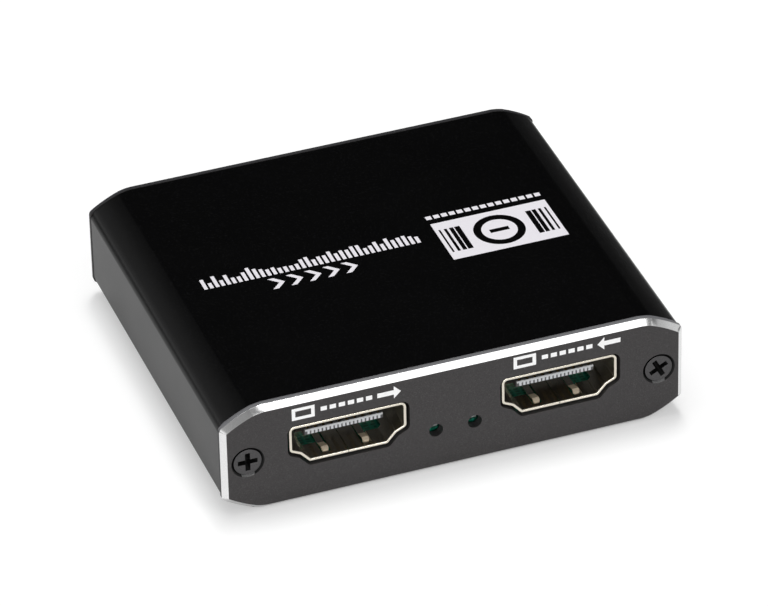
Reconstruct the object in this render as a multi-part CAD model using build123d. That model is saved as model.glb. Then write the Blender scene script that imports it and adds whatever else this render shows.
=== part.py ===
"""Video capture box: an extruded sleeve and two end plates round one circuit board.

Millimetres. X runs along the front plate, the front faces -Y, Z is up, and the
origin is the middle of the underside. Depths are measured from a socket's mouth
or from a plate's face into the case. What belongs to the rear is drawn facing the
front and turned half round the vertical axis at the end.
"""
import os

from build123d import *

# Case outline, seen from the front
case_width = 59.4
case_depth = 52.0
case_height = 15.0
corner_run = 4.75
corner_rise = 2.43
corner_bow_height = 0.2
corner_round = 0.3

# Sleeve
case_wall = 1.2
sleeve_edge_break = 0.15
guide_reach = 2.6
guide_thickness = 0.8
guide_clearance = 0.1
channel_wall = 0.75
channel_slot = 0.9
channel_web = 1.8
channel_clearance = 0.05

# End plates
plate_thickness = 1.2
plate_bevel = 0.68

# Screws, two in each plate
screw_inset = 3.25
screw_thread = 2.0
screw_head = 3.75
screw_lip = 0.08
screw_sink = 0.1
screw_length = 6.0
screw_point = 0.4
screw_hole_clearance = 0.1
countersink_margin = 0.225
recess_span = 2.5
recess_width = 0.62
recess_depth = 0.85
recess_floor_share = 0.45
front_screw_turns = (0, 28)
rear_screw_turns = (12, 61)

# Circuit board
board_thickness = 1.6
board_side_gap = 1.5
board_end_gap = 0.3
board_channel_gap = 0.4
board_corner = 0.8
board_slot_clearance = 0.2

# Video sockets, output on the left and input on the right
socket_place_share = 0.229
mouth_recess = 0.3
mouth_round = 0.12
seat_gap = 0.05
shell_width = 15.0
shell_height = 5.6
shell_wall = 0.4
shell_length = 10.8
shell_side_foot = 1.95
shoulder_width = 12.3
shoulder_height = 1.3
shell_base_width = 10.0
shell_top_round = 0.8
shell_side_round = 0.6
shoulder_round = 0.5
shell_base_round = 0.5
shell_seam = 0.08
shell_cutout_clearance = 0.28
shell_leg_width = 1.2
shell_leg_overlap = 1.0
shell_leg_end = 0.4
shell_front_leg_depth = 2.8
shell_rear_leg_depth = 8.6

# Sprung fingers and windows in the floor of a video socket's shell
finger_spacing = 5.2
finger_width = 1.2
finger_gap = 0.3
finger_tip_depth = 0.6
finger_crest_depth = 1.5
finger_bend_depth = 2.9
finger_root_depth = 5.8
finger_thickness = 0.3
finger_crest_rise = 0.42
finger_tip_rise = 0.2
window_front_depth = 3.0
window_reach = 5.3
window_height = 0.8

# Insulator and contacts of a video socket
insulator_gap = 0.05
insulator_depth = 6.2
tongue_width = 10.1
tongue_thickness = 0.9
tongue_rise = 3.2
tongue_depth = 1.6
tongue_edge = 0.12
upper_contact_count = 10
lower_contact_count = 9
contact_pitch = 1.0
contact_width = 0.3
contact_thickness = 0.15
contact_setback = 0.3
contact_side_clearance = 0.03
groove_depth = 0.18
leg_gap = 0.1
foot_length = 0.8

# Status lamps behind the round holes of the front plate
lamp_hole = 1.8
lamp_spacing = 5.0
lamp_hole_rise = 0.62
lamp_width = 1.6
lamp_depth = 0.8
lamp_base_height = 0.3
lamp_lens_height = 0.4
lamp_lens_length = 1.1
lamp_setback = 0.3

# Data socket in the rear plate
data_width = 8.94
data_height = 3.26
data_wall = 0.3
data_length = 7.3
data_cutout_clearance = 0.28
data_leg_width = 0.9
data_leg_depths = (2.4, 5.6)
data_insulator_depth = 5.0
data_tongue_width = 6.7
data_tongue_thickness = 0.7
data_tongue_depth = 1.0
data_contact_count = 12
data_contact_pitch = 0.5
data_contact_width = 0.25
data_contact_thickness = 0.12
data_groove_depth = 0.15
data_foot_length = 0.45

# Sound jacks in the rear plate
jack_place_share = 0.2862
jack_width = 6.5
jack_height = 5.0
jack_length = 11.5
jack_plate_gap = 0.15
jack_nose = 5.4
jack_nose_recess = 0.1
jack_nose_clearance = 0.2
jack_bore = 3.6
jack_back_wall = 0.6
jack_mouth_break = 0.3
jack_edge = 0.3
spring_depths = (2.2, 5.6, 9.0)
spring_sides = (1, -1, 1)
spring_width = 1.2
spring_thickness = 0.3
spring_clearance = 0.05
spring_window_margin = 0.1
spring_height = 3.4
spring_foot_length = 0.8
spring_foot_thickness = 0.2
spring_tip_height = 1.0
spring_bore_gap = 0.05

# Leads of the chips
lead_width = 0.22
lead_thickness = 0.15
lead_reach = 1.0
lead_shoulder = 0.3
lead_heel = 0.55
chip_standoff = 0.1
chip_edge = 0.12

# Chips on the board
chip_height = 1.4
capture_chip_width = 10.0
capture_lead_count = 16
capture_lead_pitch = 0.5
receiver_chip_width = 9.0
receiver_lead_count = 14
receiver_lead_pitch = 0.5
repeater_chip_width = 7.0
repeater_chip_height = 0.85
sound_chip_width = 5.0
sound_lead_count = 10
sound_lead_pitch = 0.45
memory_chip_width = 3.9
memory_chip_length = 4.9
memory_lead_count = 4
memory_lead_pitch = 1.1
row_gap = 0.6

# Small parts on the board
surge_width = 2.5
surge_depth = 1.0
surge_height = 0.6
surge_spacing = 4.4
crystal_width = 3.2
crystal_depth = 2.5
crystal_height = 0.7
coil_width = 4.0
coil_height = 2.0
coil_corner = 0.6
regulator_width = 1.6
regulator_length = 2.9
regulator_height = 1.1
regulator_lead_count = 3
regulator_lead_pitch = 0.95
bulk_width = 2.8
bulk_depth = 3.5
bulk_height = 1.9
ceramic_width = 0.8
ceramic_depth = 1.6
ceramic_height = 0.8
ceramic_count = 6
ceramic_pitch = 1.9
resistor_width = 0.5
resistor_depth = 1.0
resistor_height = 0.35
resistor_count = 5
resistor_pitch = 1.5
small_part_edge = 0.1

# Heat pad under the capture chip
heat_pad_width = 12.0

# How far a cutting shape runs past what it cuts
overrun = 1.0

# Places worked out from the sizes above
screw_x = case_width / 2 - screw_inset
screw_z = case_height / 2
screw_hole = screw_thread + 2 * screw_hole_clearance
channel_bore = screw_thread + 2 * channel_clearance
channel_radius = channel_bore / 2 + channel_wall
countersink = screw_head + 2 * countersink_margin
board_width = case_width - 2 * (case_wall + board_side_gap)
board_depth = case_depth - 2 * (plate_thickness + board_end_gap)
board_top = screw_z - channel_radius - board_channel_gap
board_underside = board_top - board_thickness
socket_spacing = 2 * socket_place_share * case_width
jack_spacing = 2 * jack_place_share * case_width
mouth_y = mouth_recess - case_depth / 2
shell_floor = board_top + seat_gap
tongue_z = shell_floor + tongue_rise
socket_back = mouth_y + shell_length + leg_gap + contact_thickness + foot_length
jack_mouth_y = jack_nose_recess - case_depth / 2
jack_body_front = plate_thickness - jack_nose_recess + jack_plate_gap
jack_z = board_top + jack_height / 2
jack_back = jack_mouth_y + jack_body_front + jack_length


def span_box(low_x, high_x, low_y, high_y, low_z, high_z):
    """A box between its lowest and highest corner."""
    size = (high_x - low_x, high_y - low_y, high_z - low_z)
    corner = (Align.MIN, Align.MIN, Align.MIN)
    return Pos(low_x, low_y, low_z) * Box(*size, align=corner)


def standing_box(x, y, z, size):
    """A box that stands at (x, y, z) on the middle of its underside."""
    return Pos(x, y, z) * Box(*size, align=(Align.CENTER, Align.CENTER, Align.MIN))


def prism(face, front_y, back_y):
    """A face drawn as (x, height), carried from one depth to another."""
    return extrude(Plane.XZ.offset(-back_y) * face, amount=back_y - front_y)


def facing_front(x, y, z):
    """A plane at a point whose normal points out of the front."""
    return Plane(origin=(x, y, z), x_dir=(1, 0, 0), z_dir=(0, -1, 0))


def bored(x, z, diameter, front_y, back_y):
    """A round rod along the depth, for holes and noses."""
    rod = Cylinder(diameter / 2, back_y - front_y, align=(Align.CENTER, Align.CENTER, Align.MAX))
    return facing_front(x, front_y, z) * rod


def to_rear(shape):
    """What was drawn facing the front, turned to face the rear."""
    return Rot(0, 0, 180) * shape


def group(solids):
    """Several separate solids in one node."""
    return Compound(children=list(solids))


def front_faces(solid):
    """The faces of a solid that lie furthest to the front."""
    return solid.faces().group_by(Axis.Y)[0]


def row(count, pitch):
    """Places along a line, evenly spaced about its middle."""
    return [(index - (count - 1) / 2) * pitch for index in range(count)]


# Case


def case_face():
    """The eight-sided outline of the case, whose corner facets bow out a little."""
    side = case_width / 2
    flat = side - corner_run
    low, high = corner_rise, case_height - corner_rise
    facets = (
        ((flat, case_height), (side, high), (1, 1)),
        ((side, low), (flat, 0), (1, -1)),
        ((-flat, 0), (-side, low), (-1, -1)),
        ((-side, high), (-flat, case_height), (-1, 1)),
    )
    edges = []
    for index, (start, end, (x_side, z_side)) in enumerate(facets):
        outward = Vector(x_side * corner_rise, z_side * corner_run).normalized()
        middle = (Vector(*start) + Vector(*end)) / 2 + outward * corner_bow_height
        edges.append(ThreePointArc(start, middle, end))
        edges.append(Line(end, facets[(index + 1) % len(facets)][0]))
    return make_face(edges)


def side_guides(side):
    """Board guides and screw channel of one side wall, without the channel's bore."""
    wall_x = case_width / 2 - case_wall
    rib_x = wall_x - guide_reach
    slot_low = board_underside - guide_clearance
    slot_high = board_top + guide_clearance
    shapes = (
        (rib_x, wall_x + case_wall / 2, slot_low - guide_thickness, slot_low),
        (rib_x, wall_x + case_wall / 2, slot_high, screw_z),
        (screw_x, wall_x + case_wall / 2, screw_z - channel_web / 2, screw_z + channel_web / 2),
    )
    ring = Pos(side * screw_x, screw_z) * Circle(channel_radius)
    for low_x, high_x, low_z, high_z in shapes:
        middle = Pos(side * (low_x + high_x) / 2, (low_z + high_z) / 2)
        ring += middle * Rectangle(high_x - low_x, high_z - low_z)
    return ring


def channel_opening(side):
    """The screw channel's bore and the slot that opens it to the inside."""
    reach = channel_radius + overrun
    slot = Pos(side * (screw_x - reach / 2), screw_z) * Rectangle(reach, channel_slot)
    return Pos(side * screw_x, screw_z) * Circle(channel_bore / 2) + slot


def case_sleeve():
    """One extrusion with walls, board guides and screw channels."""
    outline = case_face()
    section = fillet(outline.vertices(), corner_round) - offset(outline, -case_wall)
    for side in (-1, 1):
        section += side_guides(side)
    for side in (-1, 1):
        section -= channel_opening(side)
    end_y = case_depth / 2 - plate_thickness
    sleeve = prism(section, -end_y, end_y)
    for end in (0, -1):
        rim = sleeve.faces().group_by(Axis.Y)[end][0].outer_wire()
        sleeve = chamfer(rim.edges(), sleeve_edge_break)
    return sleeve


def end_plate(openings):
    """A bevelled plate that faces the front, with its screw holes and openings."""
    face_y = -case_depth / 2
    plate = prism(case_face(), face_y, face_y + plate_thickness)
    plate = chamfer(front_faces(plate)[0].outer_wire().edges(), plate_bevel)
    sink = Cone(screw_hole / 2, countersink / 2, (countersink - screw_hole) / 2,
                align=(Align.CENTER, Align.CENTER, Align.MAX))
    for x in row(2, 2 * screw_x):
        plate -= facing_front(x, face_y, screw_z) * sink
        plate -= through_plate(Pos(x, screw_z) * Circle(screw_hole / 2))
    for opening in openings:
        plate -= opening
    return plate


def through_plate(face):
    """An opening of a given outline, cut right through the front plate."""
    face_y = -case_depth / 2
    return prism(face, face_y - overrun, face_y + plate_thickness + overrun)


def front_plate():
    """The plate with the two video sockets and the two lamp holes."""
    socket_hole = offset(shell_face(), shell_cutout_clearance)
    openings = [through_plate(Pos(x, shell_floor) * socket_hole) for x in row(2, socket_spacing)]
    lamp_z = board_top + lamp_hole_rise
    openings += [through_plate(Pos(x, lamp_z) * Circle(lamp_hole / 2)) for x in row(2, lamp_spacing)]
    return end_plate(openings)


def rear_plate():
    """The plate with the data socket and the two sound jacks."""
    data_hole = Pos(0, shell_floor + data_height / 2) * data_face(data_cutout_clearance)
    jack_hole = Circle(jack_nose / 2 + jack_nose_clearance)
    openings = [through_plate(data_hole)]
    openings += [through_plate(Pos(x, jack_z) * jack_hole) for x in row(2, jack_spacing)]
    return to_rear(end_plate(openings))


def recess_cross(size_share):
    """The cross of a screw's recess, at a share of its full size."""
    span, width = recess_span * size_share, recess_width * size_share
    return Rectangle(span, width) + Rectangle(width, span)


def countersunk_screw(turn):
    """A countersunk screw along +Z, with its head's top at the origin."""
    shank = screw_thread / 2
    head = screw_head / 2
    head_depth = screw_lip + head - shank
    profile = Polyline(
        (0, 0), (head, 0), (head, -screw_lip), (shank, -head_depth),
        (shank, screw_point - screw_length), (shank - screw_point, -screw_length), (0, -screw_length),
        close=True,
    )
    screw = revolve(Plane.XZ * make_face(profile), Axis.Z)
    floor = Pos(0, 0, -recess_depth) * recess_cross(recess_floor_share)
    recess = loft([floor, recess_cross(1)], ruled=True)
    return Rot(0, 0, turn) * (screw - recess)


def plate_screws(turns):
    """The two screws of the front plate, each turned as it was left."""
    face_y = screw_sink - case_depth / 2
    places = zip(row(2, 2 * screw_x), turns)
    return group(facing_front(x, face_y, screw_z) * countersunk_screw(turn) for x, turn in places)


# Video sockets


def shell_face():
    """Outer outline of a video socket, its foot on height zero."""
    side, shoulder, base = shell_width / 2, shoulder_width / 2, shell_base_width / 2
    right = ((base, 0), (shoulder, shoulder_height), (side, shell_side_foot), (side, shell_height))
    left = [(-x, z) for x, z in reversed(right)]
    rounds = (shell_base_round, shoulder_round, shell_side_round, shell_top_round)
    outline = FilletPolyline(*right, *left, radius=[*rounds, *reversed(rounds)], close=True)
    return make_face(outline)


def finger(side):
    """A sprung finger in the shell's floor, its crest bent up into the socket."""
    path = (
        (finger_tip_depth, finger_tip_rise),
        (finger_crest_depth, finger_crest_rise),
        (finger_bend_depth, 0),
        (finger_root_depth, 0),
    )
    upper = [(mouth_y + depth, shell_floor + rise + finger_thickness) for depth, rise in reversed(path)]
    lower = [(mouth_y + depth, shell_floor + rise) for depth, rise in path]
    profile = make_face(Polyline(*lower, *upper, close=True))
    return Pos(side * finger_spacing / 2, 0, 0) * extrude(Plane.YZ * profile, finger_width / 2, both=True)


def finger_clearance(side):
    """The opening round a finger and the window beside it."""
    middle = finger_spacing / 2
    inner = middle - finger_width / 2 - finger_gap
    outer = middle + finger_width / 2 + finger_gap
    root = mouth_y + finger_root_depth
    low_z, high_z = shell_floor - overrun, shell_floor + window_height
    slot = span_box(inner, outer, mouth_y + finger_tip_depth - finger_gap, root, low_z, high_z)
    window = span_box(outer, window_reach, mouth_y + window_front_depth, root, low_z, high_z)
    opening = slot + window
    return opening if side > 0 else mirror(opening, Plane.YZ)


def shell_leg_places():
    """Middle of each of a shell's four legs, from the socket's own middle."""
    leg_x = (shell_width - shell_wall) / 2
    depths = (shell_front_leg_depth, shell_rear_leg_depth)
    return [(side * leg_x, mouth_y + depth) for side in (-1, 1) for depth in depths]


def video_shell(x):
    """A folded sheet shell with legs through the board and sprung fingers."""
    outline = Pos(0, shell_floor) * shell_face()
    shell = prism(outline - offset(outline, -shell_wall), mouth_y, mouth_y + shell_length)
    shell = fillet(front_faces(shell)[0].edges(), mouth_round)
    seam = span_box(-shell_seam / 2, shell_seam / 2, mouth_y - overrun, mouth_y + shell_length + overrun,
                    shell_floor - overrun, shell_floor + shell_wall + seat_gap)
    shell -= seam
    for side in (-1, 1):
        shell -= finger_clearance(side)
        shell += finger(side)
    leg_low = board_underside - shell_leg_end
    leg_high = shell_floor + shell_side_foot + shell_leg_overlap
    for leg_x, leg_y in shell_leg_places():
        shell += standing_box(leg_x, leg_y, leg_low, (shell_wall, shell_leg_width, leg_high - leg_low))
    return Pos(x, 0, 0) * shell


def video_contact_rows():
    """Places of the contacts, the upper row's and the lower row's, each with its groove's floor."""
    upper_floor = tongue_z + tongue_thickness / 2 - groove_depth
    lower_floor = tongue_z - tongue_thickness / 2 + groove_depth
    upper = [(x, upper_floor, 1) for x in row(upper_contact_count, contact_pitch)]
    lower = [(x, lower_floor, -1) for x in row(lower_contact_count, contact_pitch)]
    return upper + lower


def video_insulator(x):
    """Moulded block at the back of a socket, whose tongue carries the contacts."""
    inside = offset(shell_face(), -shell_wall - insulator_gap)
    back_y = mouth_y + shell_length
    block = prism(Pos(0, shell_floor) * inside, mouth_y + insulator_depth, back_y)
    tongue = span_box(-tongue_width / 2, tongue_width / 2, mouth_y + tongue_depth, back_y,
                      tongue_z - tongue_thickness / 2, tongue_z + tongue_thickness / 2)
    tongue = chamfer(front_faces(tongue)[0].edges(), tongue_edge)
    block += tongue
    half = contact_width / 2 + contact_side_clearance
    for contact_x, floor, up in video_contact_rows():
        low_z, high_z = sorted((floor, floor + up * groove_depth))
        block -= span_box(contact_x - half, contact_x + half, mouth_y, back_y + overrun, low_z, high_z)
    return Pos(x, 0, 0) * block


def bent_contact(x, floor, up, width, thickness, front_y, leg_y, foot):
    """A contact strip that runs back, down to the board and ends in a foot on it."""
    low_z, high_z = sorted((floor, floor + up * thickness))
    low_x, high_x = x - width / 2, x + width / 2
    strip = span_box(low_x, high_x, front_y, leg_y + thickness, low_z, high_z)
    leg = span_box(low_x, high_x, leg_y, leg_y + thickness, board_top, high_z)
    tail = span_box(low_x, high_x, leg_y, leg_y + thickness + foot, board_top, board_top + thickness)
    return strip + leg + tail


def video_contacts(x):
    """The nineteen contacts of a video socket, in two staggered rows."""
    front_y = mouth_y + tongue_depth + contact_setback
    leg_y = mouth_y + shell_length + leg_gap
    return group(
        bent_contact(x + contact_x, floor, up, contact_width, contact_thickness, front_y, leg_y, foot_length)
        for contact_x, floor, up in video_contact_rows()
    )


# Status lamps


def lamp_places():
    """Where each lamp stands on the board, just behind its hole."""
    y = -board_depth / 2 + lamp_setback + lamp_depth / 2
    return [(x, y) for x in row(2, lamp_spacing)]


def status_lamp_bases():
    """The flat white base of each lamp."""
    size = (lamp_width, lamp_depth, lamp_base_height)
    return group(standing_box(x, y, board_top, size) for x, y in lamp_places())


def status_lamp_lenses():
    """The clear block over each lamp's chip."""
    size = (lamp_lens_length, lamp_depth, lamp_lens_height)
    lens_z = board_top + lamp_base_height
    lenses = [standing_box(x, y, lens_z, size) for x, y in lamp_places()]
    return group(chamfer(lens.faces().sort_by(Axis.Z)[-1].edges(), small_part_edge) for lens in lenses)


# Data socket


def data_face(margin):
    """Outline of the data socket, a slot with round ends, grown by a margin."""
    return SlotOverall(data_width + 2 * margin, data_height + 2 * margin)


def data_leg_places():
    """Middle of each leg of the data socket's shell."""
    leg_x = (data_width - data_wall) / 2
    return [(side * leg_x, mouth_y + depth) for side in (-1, 1) for depth in data_leg_depths]


def data_socket_shell():
    """A drawn shell with round ends and four legs in the board."""
    middle = Pos(0, shell_floor + data_height / 2)
    ring = middle * (data_face(0) - data_face(-data_wall))
    shell = prism(ring, mouth_y, mouth_y + data_length)
    shell = fillet(front_faces(shell)[0].edges(), mouth_round)
    leg_low = board_underside - shell_leg_end
    leg_high = shell_floor + data_height / 2
    for leg_x, leg_y in data_leg_places():
        shell += standing_box(leg_x, leg_y, leg_low, (data_wall, data_leg_width, leg_high - leg_low))
    return to_rear(shell)


def data_contact_rows():
    """Places of the data socket's contacts with their groove's floor, upper row first."""
    middle = shell_floor + data_height / 2
    floor = data_tongue_thickness / 2 - data_groove_depth
    places = row(data_contact_count, data_contact_pitch)
    return [(x, middle + up * floor, up) for up in (1, -1) for x in places]


def data_socket_tongue():
    """The moulded block and tongue of the data socket."""
    middle = shell_floor + data_height / 2
    back_y = mouth_y + data_length
    inside = Pos(0, middle) * data_face(-data_wall - insulator_gap)
    block = prism(inside, mouth_y + data_insulator_depth, back_y)
    tongue = span_box(-data_tongue_width / 2, data_tongue_width / 2, mouth_y + data_tongue_depth, back_y,
                      middle - data_tongue_thickness / 2, middle + data_tongue_thickness / 2)
    block += chamfer(front_faces(tongue)[0].edges(), tongue_edge)
    half = data_contact_width / 2 + contact_side_clearance
    for x, floor, up in data_contact_rows():
        low_z, high_z = sorted((floor, floor + up * data_groove_depth))
        block -= span_box(x - half, x + half, mouth_y, back_y + overrun, low_z, high_z)
    return to_rear(block)


def data_socket_contacts():
    """Two rows of contacts; the upper row's legs stand behind the lower row's feet."""
    front_y = mouth_y + data_tongue_depth + contact_setback
    lower_leg = mouth_y + data_length + leg_gap
    upper_leg = lower_leg + data_contact_thickness + data_foot_length + leg_gap
    contacts = []
    for x, floor, up in data_contact_rows():
        leg_y = upper_leg if up > 0 else lower_leg
        contacts.append(bent_contact(x, floor, up, data_contact_width, data_contact_thickness,
                                     front_y, leg_y, data_foot_length))
    return to_rear(group(contacts))


# Sound jacks


def spring_plane():
    """How far from the jack's middle its side springs' inner faces lie."""
    return jack_width / 2 - 2 * spring_clearance - spring_thickness


def jack_body(x):
    """A moulded jack with a round nose, its bore and slots for three springs."""
    front = jack_mouth_y + jack_body_front
    body = standing_box(0, front + jack_length / 2, board_top, (jack_width, jack_length, jack_height))
    body = chamfer(body.edges().filter_by(Axis.Y), jack_edge)
    body += bored(0, jack_z, jack_nose, jack_mouth_y, front)
    body -= bored(0, jack_z, jack_bore, jack_mouth_y - overrun, front + jack_length - jack_back_wall)
    mouth = Cone(jack_bore / 2, jack_bore / 2 + jack_mouth_break, jack_mouth_break,
                 align=(Align.CENTER, Align.CENTER, Align.MAX))
    body -= facing_front(0, jack_mouth_y, jack_z) * mouth
    half = spring_width / 2 + spring_window_margin
    slot_top = board_top + spring_height + spring_window_margin
    tip = spring_tip_height / 2 + spring_window_margin
    for side, depth in zip(spring_sides, spring_depths):
        y = front + depth
        near, far = spring_plane() - spring_clearance, jack_width / 2 + overrun
        slot = span_box(near, far, y - half, y + half, board_top - overrun, slot_top)
        window = span_box(0, near, y - half, y + half, jack_z - tip, jack_z + tip)
        opening = slot + window
        body -= opening if side > 0 else mirror(opening, Plane.YZ)
    return to_rear(Pos(-x, 0, 0) * body)


def jack_spring(side, depth):
    """A leaf on the jack's side with a tip that reaches the bore and a foot on the board."""
    y = jack_mouth_y + jack_body_front + depth
    inner = spring_plane()
    outer = inner + spring_thickness
    tip = jack_bore / 2 + spring_bore_gap
    profile = Polyline(
        (inner, board_top), (inner, jack_z - spring_tip_height / 2), (tip, jack_z),
        (inner, jack_z + spring_tip_height / 2), (inner, board_top + spring_height),
        (outer, board_top + spring_height), (outer, board_top + spring_foot_thickness),
        (outer + spring_foot_length, board_top + spring_foot_thickness),
        (outer + spring_foot_length, board_top),
        close=True,
    )
    leaf = prism(make_face(profile), y - spring_width / 2, y + spring_width / 2)
    return leaf if side > 0 else mirror(leaf, Plane.YZ)


def jack_springs(x):
    """The three springs of one jack."""
    springs = [jack_spring(side, depth) for side, depth in zip(spring_sides, spring_depths)]
    return to_rear(Pos(-x, 0, 0) * group(springs))


# Circuit board and what stands on it


def circuit_board():
    """The board, with slots for the legs of the sockets."""
    board = standing_box(0, 0, board_underside, (board_width, board_depth, board_thickness))
    board = fillet(board.edges().filter_by(Axis.Z), board_corner)
    slots = [(x + leg_x, leg_y, shell_wall, shell_leg_width)
             for x in row(2, socket_spacing) for leg_x, leg_y in shell_leg_places()]
    slots += [(-leg_x, -leg_y, data_wall, data_leg_width) for leg_x, leg_y in data_leg_places()]
    for x, y, thickness, width in slots:
        size = (thickness + 2 * board_slot_clearance, width + 2 * board_slot_clearance,
                board_thickness + 2 * overrun)
        board -= standing_box(x, y, board_underside - overrun, size)
    return board


def chip_body(x, y, size, standoff=chip_standoff):
    """A moulded chip body with broken top edges."""
    body = standing_box(x, y, board_top + standoff, size)
    return chamfer(body.faces().sort_by(Axis.Z)[-1].edges(), chip_edge)


def gull_lead(height):
    """One bent lead: out of a chip's side at x = 0, down, and flat on the board."""
    shoulder = board_top + chip_standoff + height / 2
    half = lead_thickness / 2
    profile = Polyline(
        (0, shoulder - half), (lead_shoulder - half, shoulder - half), (lead_heel - half, board_top),
        (lead_reach, board_top), (lead_reach, board_top + lead_thickness),
        (lead_heel + half, board_top + lead_thickness), (lead_shoulder + half, shoulder + half),
        (0, shoulder + half),
        close=True,
    )
    return prism(make_face(profile), -lead_width / 2, lead_width / 2)


def chip_leads(x, y, reach, height, count, pitch, turns):
    """Rows of leads on the sides of a chip that its turns name, in degrees."""
    lead = gull_lead(height)
    places = [Rot(0, 0, turn) * Pos(reach, along, 0) for turn in turns for along in row(count, pitch)]
    return [Pos(x, y, 0) * place * lead for place in places]


right_and_left_turns = (0, 180)
back_and_front_turns = (90, 270)
all_turns = right_and_left_turns + back_and_front_turns
chip_row_front = socket_back + row_gap + surge_depth + row_gap
receiver_y = chip_row_front + lead_reach + receiver_chip_width / 2
receiver_back = receiver_y + receiver_chip_width / 2 + lead_reach
repeater_y = chip_row_front + repeater_chip_width / 2
capture_y = receiver_back + row_gap + crystal_depth / 2
capture_reach = capture_chip_width / 2 + lead_reach
rear_chip_y = (receiver_back - jack_back) / 2
coil_y = -mouth_y - data_length - row_gap
regulator_y = coil_y - coil_width / 2 - row_gap - lead_reach - regulator_width / 2


def capture_chip():
    return chip_body(0, capture_y, (capture_chip_width, capture_chip_width, chip_height))


def capture_chip_leads():
    return group(chip_leads(0, capture_y, capture_chip_width / 2, chip_height,
                            capture_lead_count, capture_lead_pitch, all_turns))


def receiver_chip():
    return chip_body(socket_spacing / 2, receiver_y, (receiver_chip_width, receiver_chip_width, chip_height))


def receiver_chip_leads():
    return group(chip_leads(socket_spacing / 2, receiver_y, receiver_chip_width / 2, chip_height,
                            receiver_lead_count, receiver_lead_pitch, all_turns))


def repeater_chip():
    size = (repeater_chip_width, repeater_chip_width, repeater_chip_height)
    return chip_body(-socket_spacing / 2, repeater_y, size, standoff=0)


def sound_chip():
    return chip_body(-jack_spacing / 2, rear_chip_y, (sound_chip_width, sound_chip_width, chip_height))


def sound_chip_leads():
    return group(chip_leads(-jack_spacing / 2, rear_chip_y, sound_chip_width / 2, chip_height,
                            sound_lead_count, sound_lead_pitch, right_and_left_turns))


def memory_chip():
    return chip_body(jack_spacing / 2, rear_chip_y, (memory_chip_width, memory_chip_length, chip_height))


def memory_chip_leads():
    return group(chip_leads(jack_spacing / 2, rear_chip_y, memory_chip_width / 2, chip_height,
                            memory_lead_count, memory_lead_pitch, right_and_left_turns))


def small_parts(places, size):
    """Small blocks with broken edges, standing on the board."""
    blocks = [standing_box(x, y, board_top, size) for x, y in places]
    return group(chamfer(block.faces().sort_by(Axis.Z)[-1].edges(), small_part_edge) for block in blocks)


def surge_arrays():
    """Two arrays behind each video socket."""
    y = socket_back + row_gap + surge_depth / 2
    return small_parts([(x + shift, y) for x in row(2, socket_spacing) for shift in row(2, surge_spacing)],
                       (surge_width, surge_depth, surge_height))


def crystals():
    """A crystal in a metal can on each side of the capture chip."""
    reach = capture_reach + row_gap + crystal_width / 2
    return small_parts([(x, capture_y) for x in row(2, 2 * reach)],
                       (crystal_width, crystal_depth, crystal_height))


def power_coils():
    """Two square chokes beside the data socket."""
    reach = data_width / 2 + row_gap + coil_width / 2
    size = (coil_width, coil_width, coil_height)
    coils = [standing_box(x, coil_y, board_top, size) for x in row(2, 2 * reach)]
    return group(chamfer(coil.edges().filter_by(Axis.Z), coil_corner) for coil in coils)


def regulator_places():
    """How far to the side each regulator stands, clear of the capture chip."""
    return row(2, 2 * (capture_reach + row_gap) + regulator_length)


def power_regulators():
    """The bodies of the two regulators."""
    size = (regulator_length, regulator_width, regulator_height)
    return group(chip_body(x, regulator_y, size) for x in regulator_places())


def power_regulator_leads():
    """The leads of the two regulators, on their front and back."""
    leads = []
    for x in regulator_places():
        leads += chip_leads(x, regulator_y, regulator_width / 2, regulator_height,
                            regulator_lead_count, regulator_lead_pitch, back_and_front_turns)
    return group(leads)


def bulk_capacitors():
    """A moulded capacitor near each side of the board, clear of the screw channels."""
    reach = screw_x - channel_radius - row_gap - bulk_width / 2
    y = receiver_back + row_gap + bulk_depth / 2
    return small_parts([(x, y) for x in row(2, 2 * reach)], (bulk_width, bulk_depth, bulk_height))


def ceramic_capacitors():
    """A row of small capacitors in front of the capture chip."""
    y = capture_y - capture_reach - row_gap - ceramic_depth / 2
    return small_parts([(x, y) for x in row(ceramic_count, ceramic_pitch)],
                       (ceramic_width, ceramic_depth, ceramic_height))


def resistors():
    """A row of resistors between the video sockets, level with their middle."""
    y = mouth_y + shell_length / 2
    return small_parts([(x, y) for x in row(resistor_count, resistor_pitch)],
                       (resistor_width, resistor_depth, resistor_height))


def heat_pad():
    """A soft pad that carries heat from under the capture chip to the sleeve's floor."""
    return standing_box(0, capture_y, case_wall,
                        (heat_pad_width, heat_pad_width, board_underside - case_wall))


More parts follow.
